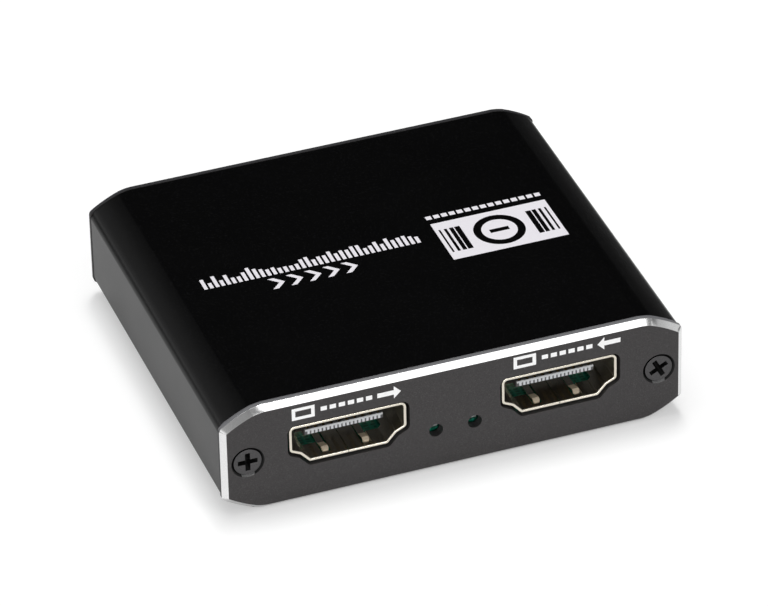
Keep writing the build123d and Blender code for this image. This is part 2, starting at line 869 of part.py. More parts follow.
nodes = {
    "case_sleeve": case_sleeve(),
    "front_plate": front_plate(),
    "rear_plate": rear_plate(),
    "front_screws": plate_screws(front_screw_turns),
    "rear_screws": to_rear(plate_screws(rear_screw_turns)),
    "circuit_board": circuit_board(),
    "video_out_shell": video_shell(-socket_spacing / 2),
    "video_out_insulator": video_insulator(-socket_spacing / 2),
    "video_out_contacts": video_contacts(-socket_spacing / 2),
    "video_in_shell": video_shell(socket_spacing / 2),
    "video_in_insulator": video_insulator(socket_spacing / 2),
    "video_in_contacts": video_contacts(socket_spacing / 2),
    "status_lamp_bases": status_lamp_bases(),
    "status_lamp_lenses": status_lamp_lenses(),
    "data_socket_shell": data_socket_shell(),
    "data_socket_tongue": data_socket_tongue(),
    "data_socket_contacts": data_socket_contacts(),
    "microphone_jack_body": jack_body(-jack_spacing / 2),
    "microphone_jack_springs": jack_springs(-jack_spacing / 2),
    "headphone_jack_body": jack_body(jack_spacing / 2),
    "headphone_jack_springs": jack_springs(jack_spacing / 2),
    "capture_chip": capture_chip(),
    "capture_chip_leads": capture_chip_leads(),
    "receiver_chip": receiver_chip(),
    "receiver_chip_leads": receiver_chip_leads(),
    "repeater_chip": repeater_chip(),
    "sound_chip": sound_chip(),
    "sound_chip_leads": sound_chip_leads(),
    "memory_chip": memory_chip(),
    "memory_chip_leads": memory_chip_leads(),
    "surge_arrays": surge_arrays(),
    "crystals": crystals(),
    "power_coils": power_coils(),
    "power_regulators": power_regulators(),
    "power_regulator_leads": power_regulator_leads(),
    "bulk_capacitors": bulk_capacitors(),
    "ceramic_capacitors": ceramic_capacitors(),
    "resistors": resistors(),
    "heat_pad": heat_pad(),
}

os.makedirs("parts", exist_ok=True)
for name, shape in nodes.items():
    export_step(shape, f"parts/{name}.step")
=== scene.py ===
"""Looks of a video capture box: finishes, printed marks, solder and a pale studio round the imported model.

Metres throughout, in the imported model's own frame: X runs along the front plate, the
front faces -Y and Z is up. Sizes are written in millimetres times MM.
"""

import logging
import math
from dataclasses import dataclass
from enum import Enum, IntEnum
from typing import Any, Callable, Iterable, Sequence

import bmesh
import bpy
from mathutils import Matrix, Vector


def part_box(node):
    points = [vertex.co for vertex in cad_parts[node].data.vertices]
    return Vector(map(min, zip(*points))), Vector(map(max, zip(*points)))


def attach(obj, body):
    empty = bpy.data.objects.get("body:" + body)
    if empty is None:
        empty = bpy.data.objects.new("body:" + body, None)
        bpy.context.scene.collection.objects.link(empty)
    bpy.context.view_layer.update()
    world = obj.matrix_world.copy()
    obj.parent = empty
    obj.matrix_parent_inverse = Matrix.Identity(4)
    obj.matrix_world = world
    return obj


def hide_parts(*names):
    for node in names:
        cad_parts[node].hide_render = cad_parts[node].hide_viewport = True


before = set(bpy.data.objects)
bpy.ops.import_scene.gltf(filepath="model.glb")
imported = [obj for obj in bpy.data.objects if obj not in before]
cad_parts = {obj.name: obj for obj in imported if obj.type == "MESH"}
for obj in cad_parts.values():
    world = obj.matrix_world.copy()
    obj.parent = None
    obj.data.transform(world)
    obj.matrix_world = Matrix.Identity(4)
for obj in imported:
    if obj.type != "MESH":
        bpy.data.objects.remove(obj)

log = logging.getLogger("capture_box")
MM = 0.001
BODY = "root"
MERGE_REACH = 0.0005 * MM
FLAT_TURN = math.radians(0.4)
SHARP_TURN = math.radians(28)
WHITE = (1.0, 1.0, 1.0, 1.0)
DARK = (0.0, 0.0, 0.0, 1.0)
SOCKET_KINDS = {float: "Float", int: "Int", tuple: "Vector"}

Point = tuple[float, float]
Triple = tuple[float, float, float]
Outline = Sequence[Point]
Inputs = dict[str | int, Any]
Node = bpy.types.Node
Socket = bpy.types.NodeSocket
Tree = bpy.types.NodeTree
Mesh = bpy.types.Mesh
Face = bmesh.types.BMFace
Chooser = Callable[[Face], int]
Shift = Callable[[Vector], Vector]
Softener = Callable[[bmesh.types.BMesh], None]


class Slot(Enum):
    """Names of material slots for the new pieces; nothing in this script uses them."""

    SLEEVE = "black_anodised"
    PLATE = "grey_anodised"
    SCREW = "black_screw_steel"
    SHELL = "nickel_shell"
    PALE = "pale_moulding"
    BLACK = "black_moulding"
    BOARD = "board_green"
    CHIP = "chip_moulding"
    LEAD = "tinned_lead"


class Facing(Enum):
    """Which end of the case, by the name that its pieces start with."""

    FRONT = "front"
    REAR = "rear"


class PlateFace(IntEnum):
    """The kinds of face on an end plate, by the place of their finish in its list."""

    FLAT = 0
    RIM = 1
    SIDE = 2
    # A countersink's upper part is painted shade and its lower part a painted highlight.
    SINK = 3
    WORN_SINK = 4
    # The front plate's upward flush side, lighter as a painted highlight.
    TOP = 5


class Graph:
    """Adds the nodes of one tree and links them."""

    noise_spread: float = 4.0

    def __init__(self, tree: Tree) -> None:
        """Keeps the tree that the nodes go into."""
        self.tree = tree

    def feed(self, node: Node, inputs: Inputs) -> None:
        """Gives a node its inputs.

        Args:
            node: The node.
            inputs: A plain value or another node's output for each named input.
        """
        for key, value in inputs.items():
            if isinstance(value, Socket):
                self.tree.links.new(value, node.inputs[key])
            else:
                node.inputs[key].default_value = value

    def add(self, kind: str, inputs: Inputs | None = None, **settings: Any) -> Node:
        """Adds one node.

        Args:
            kind: The node's type.
            inputs: A plain value or another node's output for each named input.
            **settings: The node's own properties.

        Returns:
            The new node.
        """
        node = self.tree.nodes.new(kind)
        for key, value in settings.items():
            setattr(node, key, value)
        self.feed(node, inputs or {})
        return node

    def math(self, operation: str, first: Any, second: Any = 0.0) -> Socket:
        """Adds one sum of two values or outputs."""
        return self.add("ShaderNodeMath", {0: first, 1: second}, operation=operation).outputs[0]

    def place(self) -> Socket:
        """Gives the place on the object."""
        return self.add("ShaderNodeTexCoord").outputs["Object"]

    def scaled(self, colour: Any, factor: Any) -> Socket:
        """Multiplies a colour by a factor that changes over the surface."""
        inputs = {0: colour, "Scale": factor}
        return self.add("ShaderNodeVectorMath", inputs, operation="SCALE").outputs[0]

    def blend(self, mask: Socket, first: Any, second: Any) -> Socket:
        """Mixes two colours, each a plain one or an output, by a mask."""
        first, second = ((*side, 1.0) if isinstance(side, tuple) else side for side in (first, second))
        return self.add("ShaderNodeMix", {0: mask, 6: first, 7: second}, data_type="RGBA").outputs[2]

    def ramp(self, value: Socket, reach: Point, levels: Sequence[Any], kind: str = "SMOOTHSTEP") -> Socket:
        """Maps a value between two limits to the levels at those limits."""
        inputs = dict(zip(("Value", "From Min", "From Max", "To Min", "To Max"), (value, *reach, *levels)))
        return self.add("ShaderNodeMapRange", inputs, interpolation_type=kind).outputs[0]

    def swing(self, noise: Socket, depth: Socket) -> Socket:
        """Turns a noise into a factor about one, with the given depth."""
        spread = self.math("MULTIPLY", self.math("SUBTRACT", noise, 0.5), depth)
        return self.math("ADD", self.math("MULTIPLY", spread, self.noise_spread), 1.0)


def fresh_graph(owner: bpy.types.Material | bpy.types.World) -> Graph:
    """Clears the nodes of a material or a world.

    Args:
        owner: The material or world.

    Returns:
        The graph of its empty tree.
    """
    owner.use_nodes = True
    owner.node_tree.nodes.clear()
    return Graph(owner.node_tree)


def new_group(name: str, kind: str, inputs: dict[str, Any],
              outputs: dict[str, str]) -> tuple[Graph, Any, Node]:
    """Starts a node group with named sockets.

    Args:
        name: The group's name.
        kind: The type of its tree.
        inputs: The default value of each input, or its kind where it has none.
        outputs: The kind of each output.

    Returns:
        The group's graph, what it is given, and its output node.
    """
    tree = bpy.data.node_groups.new(name, kind)
    for label, default in inputs.items():
        socket = default if isinstance(default, str) else SOCKET_KINDS[type(default)]
        item = tree.interface.new_socket(label, in_out="INPUT", socket_type="NodeSocket" + socket)
        if socket is not default:
            item.default_value = default
    for label, socket in outputs.items():
        tree.interface.new_socket(label, in_out="OUTPUT", socket_type="NodeSocket" + socket)
    graph = Graph(tree)
    return graph, graph.add("NodeGroupInput").outputs, graph.add("NodeGroupOutput")


def start_effect(name: str, inputs: dict[str, float],
                 outputs: Sequence[str] = ("Factor",)) -> tuple[Graph, Any, Node, Inputs]:
    """Starts a shader group whose first input is the size of its pattern.

    Args:
        name: The group's name.
        inputs: The default value of each input.
        outputs: The names of its outputs.

    Returns:
        The group's graph, what it is given, its output node, and the place and scale of its texture.
    """
    graph, given, result = new_group(name, "ShaderNodeTree", inputs, dict.fromkeys(outputs, "Float"))
    return graph, given, result, {"Vector": graph.place(), "Scale": graph.math("DIVIDE", 1.0, given[0])}


class SurfaceEffects:
    """Shader node groups for what several finishes share."""

    point_reach: float = 0.4

    def __init__(self) -> None:
        """Builds each group once."""
        self.grain = self.build_grain()
        self.specks = self.build_specks()
        self.tool_marks = self.build_tool_marks()
        self.handling = self.build_handling()

    @staticmethod
    def build_grain() -> Tree:
        """Fine even grain.

        Returns:
            A group that puts out a factor about one and a height.
        """
        sizes = {"Size": 0.1 * MM, "Contrast": 0.2}
        graph, given, result, texture = start_effect("fine grain", sizes, ("Factor", "Height"))
        noise = graph.add("ShaderNodeTexNoise", {**texture, "Detail": 2.0, "Roughness": 0.6}).outputs[0]
        graph.feed(result, {"Factor": graph.swing(noise, given["Contrast"]), "Height": noise})
        return graph.tree

    @staticmethod
    def build_specks() -> Tree:
        """Small bright points, each in a cell of its own.

        Returns:
            A group that puts out their mask.
        """
        graph, given, result, texture = start_effect("specks", {"Size": 0.2 * MM, "Share": 0.1}, ("Mask",))
        cells = graph.add("ShaderNodeTexVoronoi", texture)
        draw = graph.add("ShaderNodeSeparateColor", {0: cells.outputs["Color"]}).outputs[0]
        chosen = graph.math("LESS_THAN", draw, given["Share"])
        near = graph.math("LESS_THAN", cells.outputs["Distance"], SurfaceEffects.point_reach)
        graph.feed(result, {"Mask": graph.math("MULTIPLY", chosen, near)})
        return graph.tree

    @staticmethod
    def build_tool_marks() -> Tree:
        """Fine cutter lines that follow the rim of an end plate.

        Returns:
            A group that puts out their height as a factor.
        """
        graph, given, result, texture = start_effect("tool marks", {"Pitch": 0.06 * MM, "Stretch": 0.03})
        along = given["Stretch"]
        stretch = graph.add("ShaderNodeCombineXYZ", {"X": along, "Y": 1.0, "Z": along}).outputs[0]
        place = {0: texture["Vector"], 1: stretch}
        texture["Vector"] = graph.add("ShaderNodeVectorMath", place, operation="MULTIPLY").outputs[0]
        noise = graph.add("ShaderNodeTexNoise", {**texture, "Detail": 3.0}).outputs[0]
        graph.feed(result, {"Factor": noise})
        return graph.tree

    @staticmethod
    def build_handling() -> Tree:
        """Wide soft patches, as hands and packing leave on a smooth surface.

        Returns:
            A group that puts out a factor about one.
        """
        graph, given, result, texture = start_effect("handling", {"Size": 9.0 * MM, "Depth": 0.1})
        noise = graph.add("ShaderNodeTexNoise", {**texture, "Detail": 4.0, "Distortion": 0.6}).outputs[0]
        graph.feed(result, {"Factor": graph.swing(noise, given["Depth"])})
        return graph.tree


effects = SurfaceEffects()


@dataclass(frozen=True)
class Finish:
    """A surface with fine grain, which every other finish starts from."""

    name: str
    colour: Triple
    roughness: float = 0.5
    metallic: float = 0.0
    specular: float = 0.5
    grain_size: float = 0.08 * MM
    grain_contrast: float = 0.12
    grain_height: float = 0.002 * MM
    handling_depth: float = 0.08

    def material(self) -> bpy.types.Material:
        """Builds the finish's material on first use.

        Returns:
            The material.
        """
        made = bpy.data.materials.get(self.name)
        if made is None:
            made = bpy.data.materials.new(self.name)
            self.build(fresh_graph(made))
        return made

    def pattern(self, graph: Graph, grain: Node) -> Socket:
        """Gives the base colour over the surface."""
        return graph.scaled(self.colour, grain.outputs["Factor"])

    def height(self, graph: Graph, grain: Node) -> Socket:
        """Gives the height that the surface's relief follows."""
        return grain.outputs["Height"]

    def constants(self) -> Inputs:
        """Gives the shader's plain values."""
        return {"Metallic": self.metallic, "Specular IOR Level": self.specular}

    def build(self, graph: Graph) -> None:
        """Fills the material's tree.

        Args:
            graph: The tree, which is empty.
        """
        sizes = {"Size": self.grain_size, "Contrast": self.grain_contrast}
        grain = graph.add("ShaderNodeGroup", sizes, node_tree=effects.grain)
        patches = graph.add("ShaderNodeGroup", {"Depth": self.handling_depth}, node_tree=effects.handling)
        relief = graph.add("ShaderNodeBump", {"Strength": 1.0, "Distance": self.grain_height,
                                              "Height": self.height(graph, grain)})
        shader = graph.add("ShaderNodeBsdfPrincipled", {
            **self.constants(), "Base Color": self.pattern(graph, grain), "Normal": relief.outputs[0],
            "Roughness": graph.math("MULTIPLY", patches.outputs[0], self.roughness),
        })
        graph.add("ShaderNodeOutputMaterial", {"Surface": shader.outputs[0]})


@dataclass(frozen=True)
class SpeckledFinish(Finish):
    """A blasted and anodised surface with tiny bright points."""

    speck_colour: Triple = (0.2, 0.2, 0.2)
    speck_size: float = 0.16 * MM
    speck_share: float = 0.12

    def pattern(self, graph: Graph, grain: Node) -> Socket:
        """Gives the base colour with the bright points on it.

        Args:
            graph: The material's tree.
            grain: The grain's node.

        Returns:
            The colour.
        """
        sizes = {"Size": self.speck_size, "Share": self.speck_share}
        specks = graph.add("ShaderNodeGroup", sizes, node_tree=effects.specks)
        return graph.blend(specks.outputs["Mask"], super().pattern(graph, grain), self.speck_colour)


@dataclass(frozen=True)
class CutFinish(Finish):
    """Bare metal with the fine lines of a cutter that ran along the rim."""

    mark_pitch: float = 0.07 * MM

    def height(self, graph: Graph, grain: Node) -> Socket:
        """Gives the height of the cutter lines."""
        lines = graph.add("ShaderNodeGroup", {"Pitch": self.mark_pitch}, node_tree=effects.tool_marks)
        return lines.outputs["Factor"]


@dataclass(frozen=True)
class MirrorCutFinish(CutFinish):
    """A bright cut that throws little light on what is near it."""

    bounce_loss: float = 0.82

    def pattern(self, graph: Graph, grain: Node) -> Socket:
        """Gives the base colour, darker for light on its way to a matt surface.

        Args:
            graph: The material's tree.
            grain: The grain's node.

        Returns:
            The colour.
        """
        bounced = graph.add("ShaderNodeLightPath").outputs["Is Diffuse Ray"]
        share = graph.math("SUBTRACT", 1.0, graph.math("MULTIPLY", bounced, self.bounce_loss))
        return graph.scaled(self.colour, graph.math("MULTIPLY", grain.outputs["Factor"], share))


@dataclass(frozen=True)
class LensFinish(Finish):
    """Clear cast resin."""

    transmission: float = 0.75
    bending: float = 1.5

    def constants(self) -> Inputs:
        """Gives the shader's plain values, clear ones included."""
        return {**super().constants(), "Transmission Weight": self.transmission, "IOR": self.bending}


@dataclass(frozen=True)
class MaskedBoardFinish(Finish):
    """Solder mask over copper tracks."""

    track_colour: Triple = (0.01, 0.2, 0.13)
    track_pitch: float = 1.1 * MM
    cross_pitch: float = 1.87 * MM

    def tracks(self, graph: Graph) -> Socket:
        """Draws the copper under the solder mask, both ways.

        Args:
            graph: The material's tree.

        Returns:
            The copper's mask.
        """
        masks = []
        for turn, pitch in ((0.0, self.track_pitch), (math.pi / 2, self.cross_pitch)):
            turned = graph.add("ShaderNodeMapping", {"Vector": graph.place(), "Rotation": (0.0, 0.0, turn)})
            masks.append(graph.add("ShaderNodeTexBrick", {
                "Vector": turned.outputs[0], "Color1": DARK, "Color2": DARK, "Mortar": WHITE,
                "Scale": 1 / pitch, "Mortar Size": 0.09, "Brick Width": 6.0, "Row Height": 0.5,
            }, offset=0.37).outputs["Fac"])
        return graph.math("MAXIMUM", *masks)

    def pattern(self, graph: Graph, grain: Node) -> Socket:
        """Gives the mask's green, lighter over the copper."""
        return graph.blend(self.tracks(graph), self.colour, self.track_colour)

    def height(self, graph: Graph, grain: Node) -> Socket:
        """Gives the step where the mask runs over copper."""
        return self.tracks(graph)


class Finishes:
    """Every finish of the capture box."""

    sleeve = SpeckledFinish("matte_black_anodised", (0.0016, 0.0016, 0.0017), roughness=0.25, specular=0.15,
                            grain_size=0.12 * MM, grain_contrast=0.4, grain_height=0.004 * MM,
                            speck_colour=(0.006, 0.006, 0.0064), speck_share=0.16)
    sleeve_edge = CutFinish("worn_sleeve_edge", (0.15, 0.15, 0.157), roughness=0.42, specular=0.2)
    plate = SpeckledFinish("blasted_grey_anodised", (0.039, 0.0365, 0.037), roughness=0.36, specular=0.3,
                           grain_size=0.11 * MM, grain_contrast=0.4, grain_height=0.005 * MM,
                           speck_colour=(0.066, 0.063, 0.063), speck_size=0.13 * MM, speck_share=0.16)
    plate_side = CutFinish("plate_side", (0.03, 0.03, 0.032), roughness=0.42, specular=0.14)
    # The front plate's flush side is lighter where it faces up: a painted highlight.
    plate_top = CutFinish("rubbed_plate_top", (0.15, 0.15, 0.157), roughness=0.42, specular=0.15)
    # A countersink takes two finishes: near black as painted shade on its upper part, where the head shades
    # it, and bright metal as a painted highlight on its lower part.
    countersink = Finish("shaded_countersink", (0.003, 0.003, 0.003), roughness=0.34, specular=0.2)
    painted_highlight_sink = Finish("rubbed_countersink", (0.14, 0.14, 0.14), roughness=0.3, metallic=1.0, grain_contrast=0.5)
    # The inside of each screw's cross recess is near black: painted shade.
    recess = Finish("shaded_recess", (0.0015, 0.0015, 0.0015), roughness=0.6, specular=0.1)
    bevel = MirrorCutFinish("bright_cut_bevel", (0.93, 0.93, 0.93), roughness=0.16, metallic=1.0,
                            grain_height=0.001 * MM)
    screw = Finish("blackened_screw_steel", (0.075, 0.073, 0.075), roughness=0.3, metallic=0.7,
                   grain_contrast=0.4, grain_height=0.004 * MM)
    # The raised ends of the sprung fingers take a paler matte tan: painted light where they catch the light.
    finger = Finish("rubbed_finger", (0.72, 0.62, 0.47), roughness=0.5, metallic=0.3, grain_contrast=0.2)
    shell = Finish("nickel_plate", (0.84, 0.79, 0.68), roughness=0.2, metallic=1.0, grain_size=0.3 * MM,
                   grain_contrast=0.02, grain_height=0.0005 * MM)
    comb = Finish("pale_moulding", (0.5, 0.51, 0.53), roughness=0.42, grain_contrast=0.08)
    tongue_tip = Finish("tongue_tip", (0.09, 0.09, 0.094), roughness=0.5, grain_contrast=0.1)
    black = Finish("black_moulding", (0.012, 0.012, 0.013), roughness=0.38, grain_contrast=0.2)
    gilt = Finish("gilt", (0.83, 0.6, 0.28), roughness=0.25, metallic=1.0, grain_contrast=0.05)
    board = MaskedBoardFinish("green_solder_mask", (0.003, 0.1, 0.06), roughness=0.25,
                              grain_height=0.02 * MM)
    # The lamp's white base is painted grey and the lens's green tint is darkened: painted shade of the dark
    # lamp holes.
    lamp_base = Finish("white_lamp_base", (0.4, 0.43, 0.42), roughness=0.5)
    lens = LensFinish("lamp_resin", (0.05, 0.34, 0.27), roughness=0.35, specular=0.15)
    chip = Finish("chip_moulding", (0.018, 0.018, 0.019), roughness=0.55, grain_contrast=0.4,
                  grain_height=0.006 * MM)
    tin = Finish("tinned_lead", (0.72, 0.72, 0.71), roughness=0.32, metallic=1.0, grain_contrast=0.08)
    solder = Finish("solder", (0.66, 0.67, 0.68), roughness=0.22, metallic=1.0, grain_size=0.25 * MM)
    ferrite = Finish("ferrite", (0.03, 0.03, 0.032), roughness=0.62, grain_contrast=0.4,
                     grain_height=0.008 * MM)
    amber = Finish("capacitor_moulding", (0.42, 0.2, 0.04), roughness=0.5)
    ceramic = Finish("fired_ceramic", (0.3, 0.2, 0.12), roughness=0.6, grain_contrast=0.25)
    resistor = Finish("resistor_glaze", (0.02, 0.02, 0.024), roughness=0.3)
    crystal = Finish("crystal_can", (0.75, 0.74, 0.7), roughness=0.3, metallic=1.0)
    pad = Finish("heat_pad", (0.25, 0.26, 0.28), roughness=0.8, grain_size=0.4 * MM)
    top_ink = Finish("top_print_ink", (0.74, 0.72, 0.76), roughness=0.6, grain_contrast=0.06)
    panel_ink = Finish("panel_print_ink", (0.93, 0.93, 0.93), roughness=0.55, grain_contrast=0.04)
    legend = Finish("board_legend", (0.75, 0.77, 0.75), roughness=0.7)


def new_object(name: str, data: Any) -> bpy.types.Object:
    """Puts a mesh, lamp or camera in the scene.

    Args:
        name: The object's name.
        data: What it shows.

    Returns:
        The object, at the origin.
    """
    made = bpy.data.objects.new(name, data)
    bpy.context.scene.collection.objects.link(made)
    return made


def new_mesh(name: str, work: bmesh.types.BMesh) -> Mesh:
    """Keeps what was worked on as a mesh.

    Args:
        name: The mesh's name.
        work: The worked mesh, which is freed.

    Returns:
        The mesh.
    """
    mesh = bpy.data.meshes.new(name)
    work.to_mesh(mesh)
    work.free()
    return mesh


def moved(mesh: Mesh, x: float, y: float, z: float = 0.0) -> Mesh:
    """Shifts a mesh and gives it back."""
    mesh.transform(Matrix.Translation((x, y, z)))
    return mesh


def middle_of(node: str) -> Vector:
    """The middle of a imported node's box."""
    low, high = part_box(node)
    return (low + high) / 2


def place_piece(piece: bpy.types.Object, nodes: Iterable[str] = ()) -> None:
    """Makes a finished piece ride on the box.

    Args:
        piece: The piece, in place.
        nodes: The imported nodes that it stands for.
    """
    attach(piece, BODY)
    if nodes:
        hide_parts(*nodes)
    log.info("piece %s: %d faces", piece.name, len(piece.data.polygons))


def add_piece(mesh: Mesh) -> None:
    """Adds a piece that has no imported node, named as its mesh."""
    place_piece(new_object(mesh.name, mesh))


def dress_node(node: str, finish: Finish) -> None:
    """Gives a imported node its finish, with its shape as it is.

    Args:
        node: The node.
        finish: The finish.
    """
    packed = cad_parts[node]
    if not packed.material_slots:
        packed.data.materials.append(None)
    for socket in packed.material_slots:
        socket.link = "OBJECT"
        socket.material = finish.material()
    log.info("node %s: %s", node, finish.name)


def bevel_edges(work: bmesh.types.BMesh, edges: Sequence[bmesh.types.BMEdge], reach: float,
                steps: int) -> None:
    """Rounds some edges, each as far as given to both sides."""
    bmesh.ops.bevel(work, geom=edges, offset=reach, offset_type="OFFSET", segments=steps, profile=0.5,
                    affect="EDGES", clamp_overlap=False)


@dataclass(frozen=True)
class CaseOutline:
    """The eight-sided outline that the sleeve and the end plates share."""

    run: float = 4.75 * MM
    rise: float = 2.43 * MM
    flat_reach: float = 0.85 * MM
    side_reach: float = 0.35 * MM
    search: float = 0.75 * MM
    weld: float = 0.25 * MM
    level_reach: float = 0.12 * MM
    least_turn: float = math.radians(8)
    level_digits: int = 6
    steps: int = 6

    def corners(self) -> list[Triple]:
        """Finds the outline's corners.

        Returns:
            Each as x, z and how far its rounding reaches to both sides.
        """
        low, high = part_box("front_plate")
        found = []
        for side in (-1, 1):
            for level, inward in ((high.z, -1), (low.z, 1)):
                found.append((side * (high.x - self.run), level, self.flat_reach))
                found.append((side * high.x, level + inward * self.rise, self.side_reach))
        return found

    def soften(self, work: bmesh.types.BMesh) -> None:
        """Rounds the long corners of a piece.

        Args:
            work: The piece's merged mesh.
        """
        for x, z, reach in self.corners():
            self.weld_corner(work, x, z)
            near = {corner for corner in work.verts
                    if math.hypot(corner.co.x - x, corner.co.z - z) < self.search}
            edges = [edge for edge in work.edges if len(edge.link_faces) == 2
                     and near.issuperset(edge.verts) and edge.calc_face_angle() > self.least_turn]
            bevel_edges(work, edges, reach, self.steps)

    def weld_corner(self, work: bmesh.types.BMesh, x: float, z: float) -> None:
        """Brings the points of a small rounding together, so that a wider one can take its place.

        Args:
            work: The piece's merged mesh.
            x: The corner's place across the case.
            z: The corner's height.
        """
        levels: dict[float, list[bmesh.types.BMVert]] = {}
        for corner in work.verts:
            if math.hypot(corner.co.x - x, corner.co.z - z) < self.weld:
                levels.setdefault(round(corner.co.y, self.level_digits), []).append(corner)
        groups = {level: list(found) for level, found in levels.items()}
        for level, found in levels.items():
            wide = [other for other in levels if abs(other - level) < self.level_reach
                    and len(levels[other]) > len(found)]
            if wide:
                groups[min(wide, key=lambda other: abs(other - level))] += groups.pop(level)
        for level, group in groups.items():
            middle = sum((corner.co for corner in levels[level]), Vector()) / len(levels[level])
            bmesh.ops.pointmerge(work, verts=group, merge_co=middle)


def refined_copy(node: str, finishes: Sequence[Finish], choose: Chooser | None = None,
                 edge_round: float = 0.0, shift: Shift | None = None, soften: Softener | None = None,
                 edge_steps: int = 2, name: str = "") -> None:
    """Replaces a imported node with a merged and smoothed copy.

    Args:
        node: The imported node.
        finishes: The finishes that its faces take.
        choose: Gives a face's place in the list of finishes.
        edge_round: Radius of the softened edges, or zero for none.
        shift: Moves a corner a little, as where a face gives room to ink.
        soften: Rounds some of the merged mesh's edges wider, as the case's long corners.
        edge_steps: Steps of a softened edge.
        name: The new piece's name, where it isn't the node's with _dressed.
    """
    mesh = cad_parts[node].data.copy()
    mesh.name = name or node + "_dressed"
    work = bmesh.new()
    work.from_mesh(mesh)
    bmesh.ops.remove_doubles(work, verts=work.verts, dist=MERGE_REACH)
    if shift is not None:
        for corner in work.verts:
            corner.co = shift(corner.co)
    bmesh.ops.dissolve_limit(work, angle_limit=FLAT_TURN, verts=work.verts, edges=work.edges)
    if soften is not None:
        soften(work)
    mesh.materials.clear()
    for finish in finishes:
        mesh.materials.append(finish.material())
    for face in work.faces:
        face.smooth = True
        face.material_index = choose(face) if choose else 0
    work.to_mesh(mesh)
    work.free()
    mesh.set_sharp_from_angle(angle=SHARP_TURN)
    piece = new_object(mesh.name, mesh)
    if edge_round:
        bevel = piece.modifiers.new("edge", "BEVEL")
        bevel.width = edge_round
        bevel.segments = edge_steps
        bevel.limit_method = "ANGLE"
        bevel.angle_limit = SHARP_TURN
    if edge_round or soften:
        piece.modifiers.new("flat", "WEIGHTED_NORMAL").keep_sharp = True
    place_piece(piece, [node])


def flat_plate(outlines: Sequence[Outline], thickness: float) -> Mesh:
    """A flat plate with any number of nested outlines.

    Args:
        outlines: Closed outlines; one inside another is a hole.
        thickness: How far the plate goes down from height zero.

    Returns:
        A closed mesh whose upper side is at height zero.
    """
    work = bmesh.new()
    for outline in outlines:
        corners = [work.verts.new((x, y, 0.0)) for x, y in outline]
        for index, corner in enumerate(corners):
            work.edges.new((corners[index - 1], corner))
    bmesh.ops.triangle_fill(work, use_beauty=True, use_dissolve=False, edges=work.edges, normal=(0, 0, 1))
    raised = bmesh.ops.extrude_face_region(work, geom=work.faces[:])
    lower = [item for item in raised["geom"] if isinstance(item, bmesh.types.BMVert)]
    bmesh.ops.translate(work, verts=lower, vec=(0, 0, -thickness))
    bmesh.ops.recalc_face_normals(work, faces=work.faces)
    if work.calc_volume(signed=True) < 0:
        bmesh.ops.reverse_faces(work, faces=work.faces)
    return new_mesh("flat plate", work)


def rectangle(width: float, height: float, middle: Point = (0.0, 0.0)) -> list[Point]:
    """Corners of a rectangle about a middle."""
    sides = ((-1, -1), (1, -1), (1, 1), (-1, 1))
    return [(middle[0] + across * width / 2, middle[1] + up * height / 2) for across, up in sides]


def circle(radius: float, middle: Point = (0.0, 0.0), steps: int = 48) -> list[Point]:
    """Points round a circle."""
    turns = [2 * math.pi * index / steps for index in range(steps)]
    return [(middle[0] + radius * math.cos(turn), middle[1] + radius * math.sin(turn)) for turn in turns]


def capsule(radius: float, length: float, middle: Point, steps: int = 12) -> list[Point]:
    """An upright bar with round ends.

    Args:
        radius: Half its width.
        length: Its whole length.
        middle: Its middle.
        steps: Steps round each end.

    Returns:
        The points round it.
    """
    x, y = middle
    points = []
    for side, start in ((1, 0.0), (-1, math.pi)):
        centre = y + side * (length / 2 - radius)
        turns = [start + math.pi * index / steps for index in range(steps + 1)]
        points += [(x + radius * math.cos(turn), centre + radius * math.sin(turn)) for turn in turns]
    return points


def arrow(length: float, height: float, stem: float) -> list[Point]:
    """Outline of an arrow that points along X, its tip at half its length."""
    tip, neck = length / 2, length / 2 - height / 2
    return [(-tip, -stem / 2), (neck, -stem / 2), (neck, -height / 2), (tip, 0),
            (neck, height / 2), (neck, stem / 2), (-tip, stem / 2)]


def chevron(width: float, height: float, stroke: float) -> list[Point]:
    """Outline of an angle bracket that points along X."""
    back, tip = -width / 2, width / 2
    return [(back, -height / 2), (back + stroke, -height / 2), (tip, 0), (back + stroke, height / 2),
            (back, height / 2), (tip - stroke, 0)]


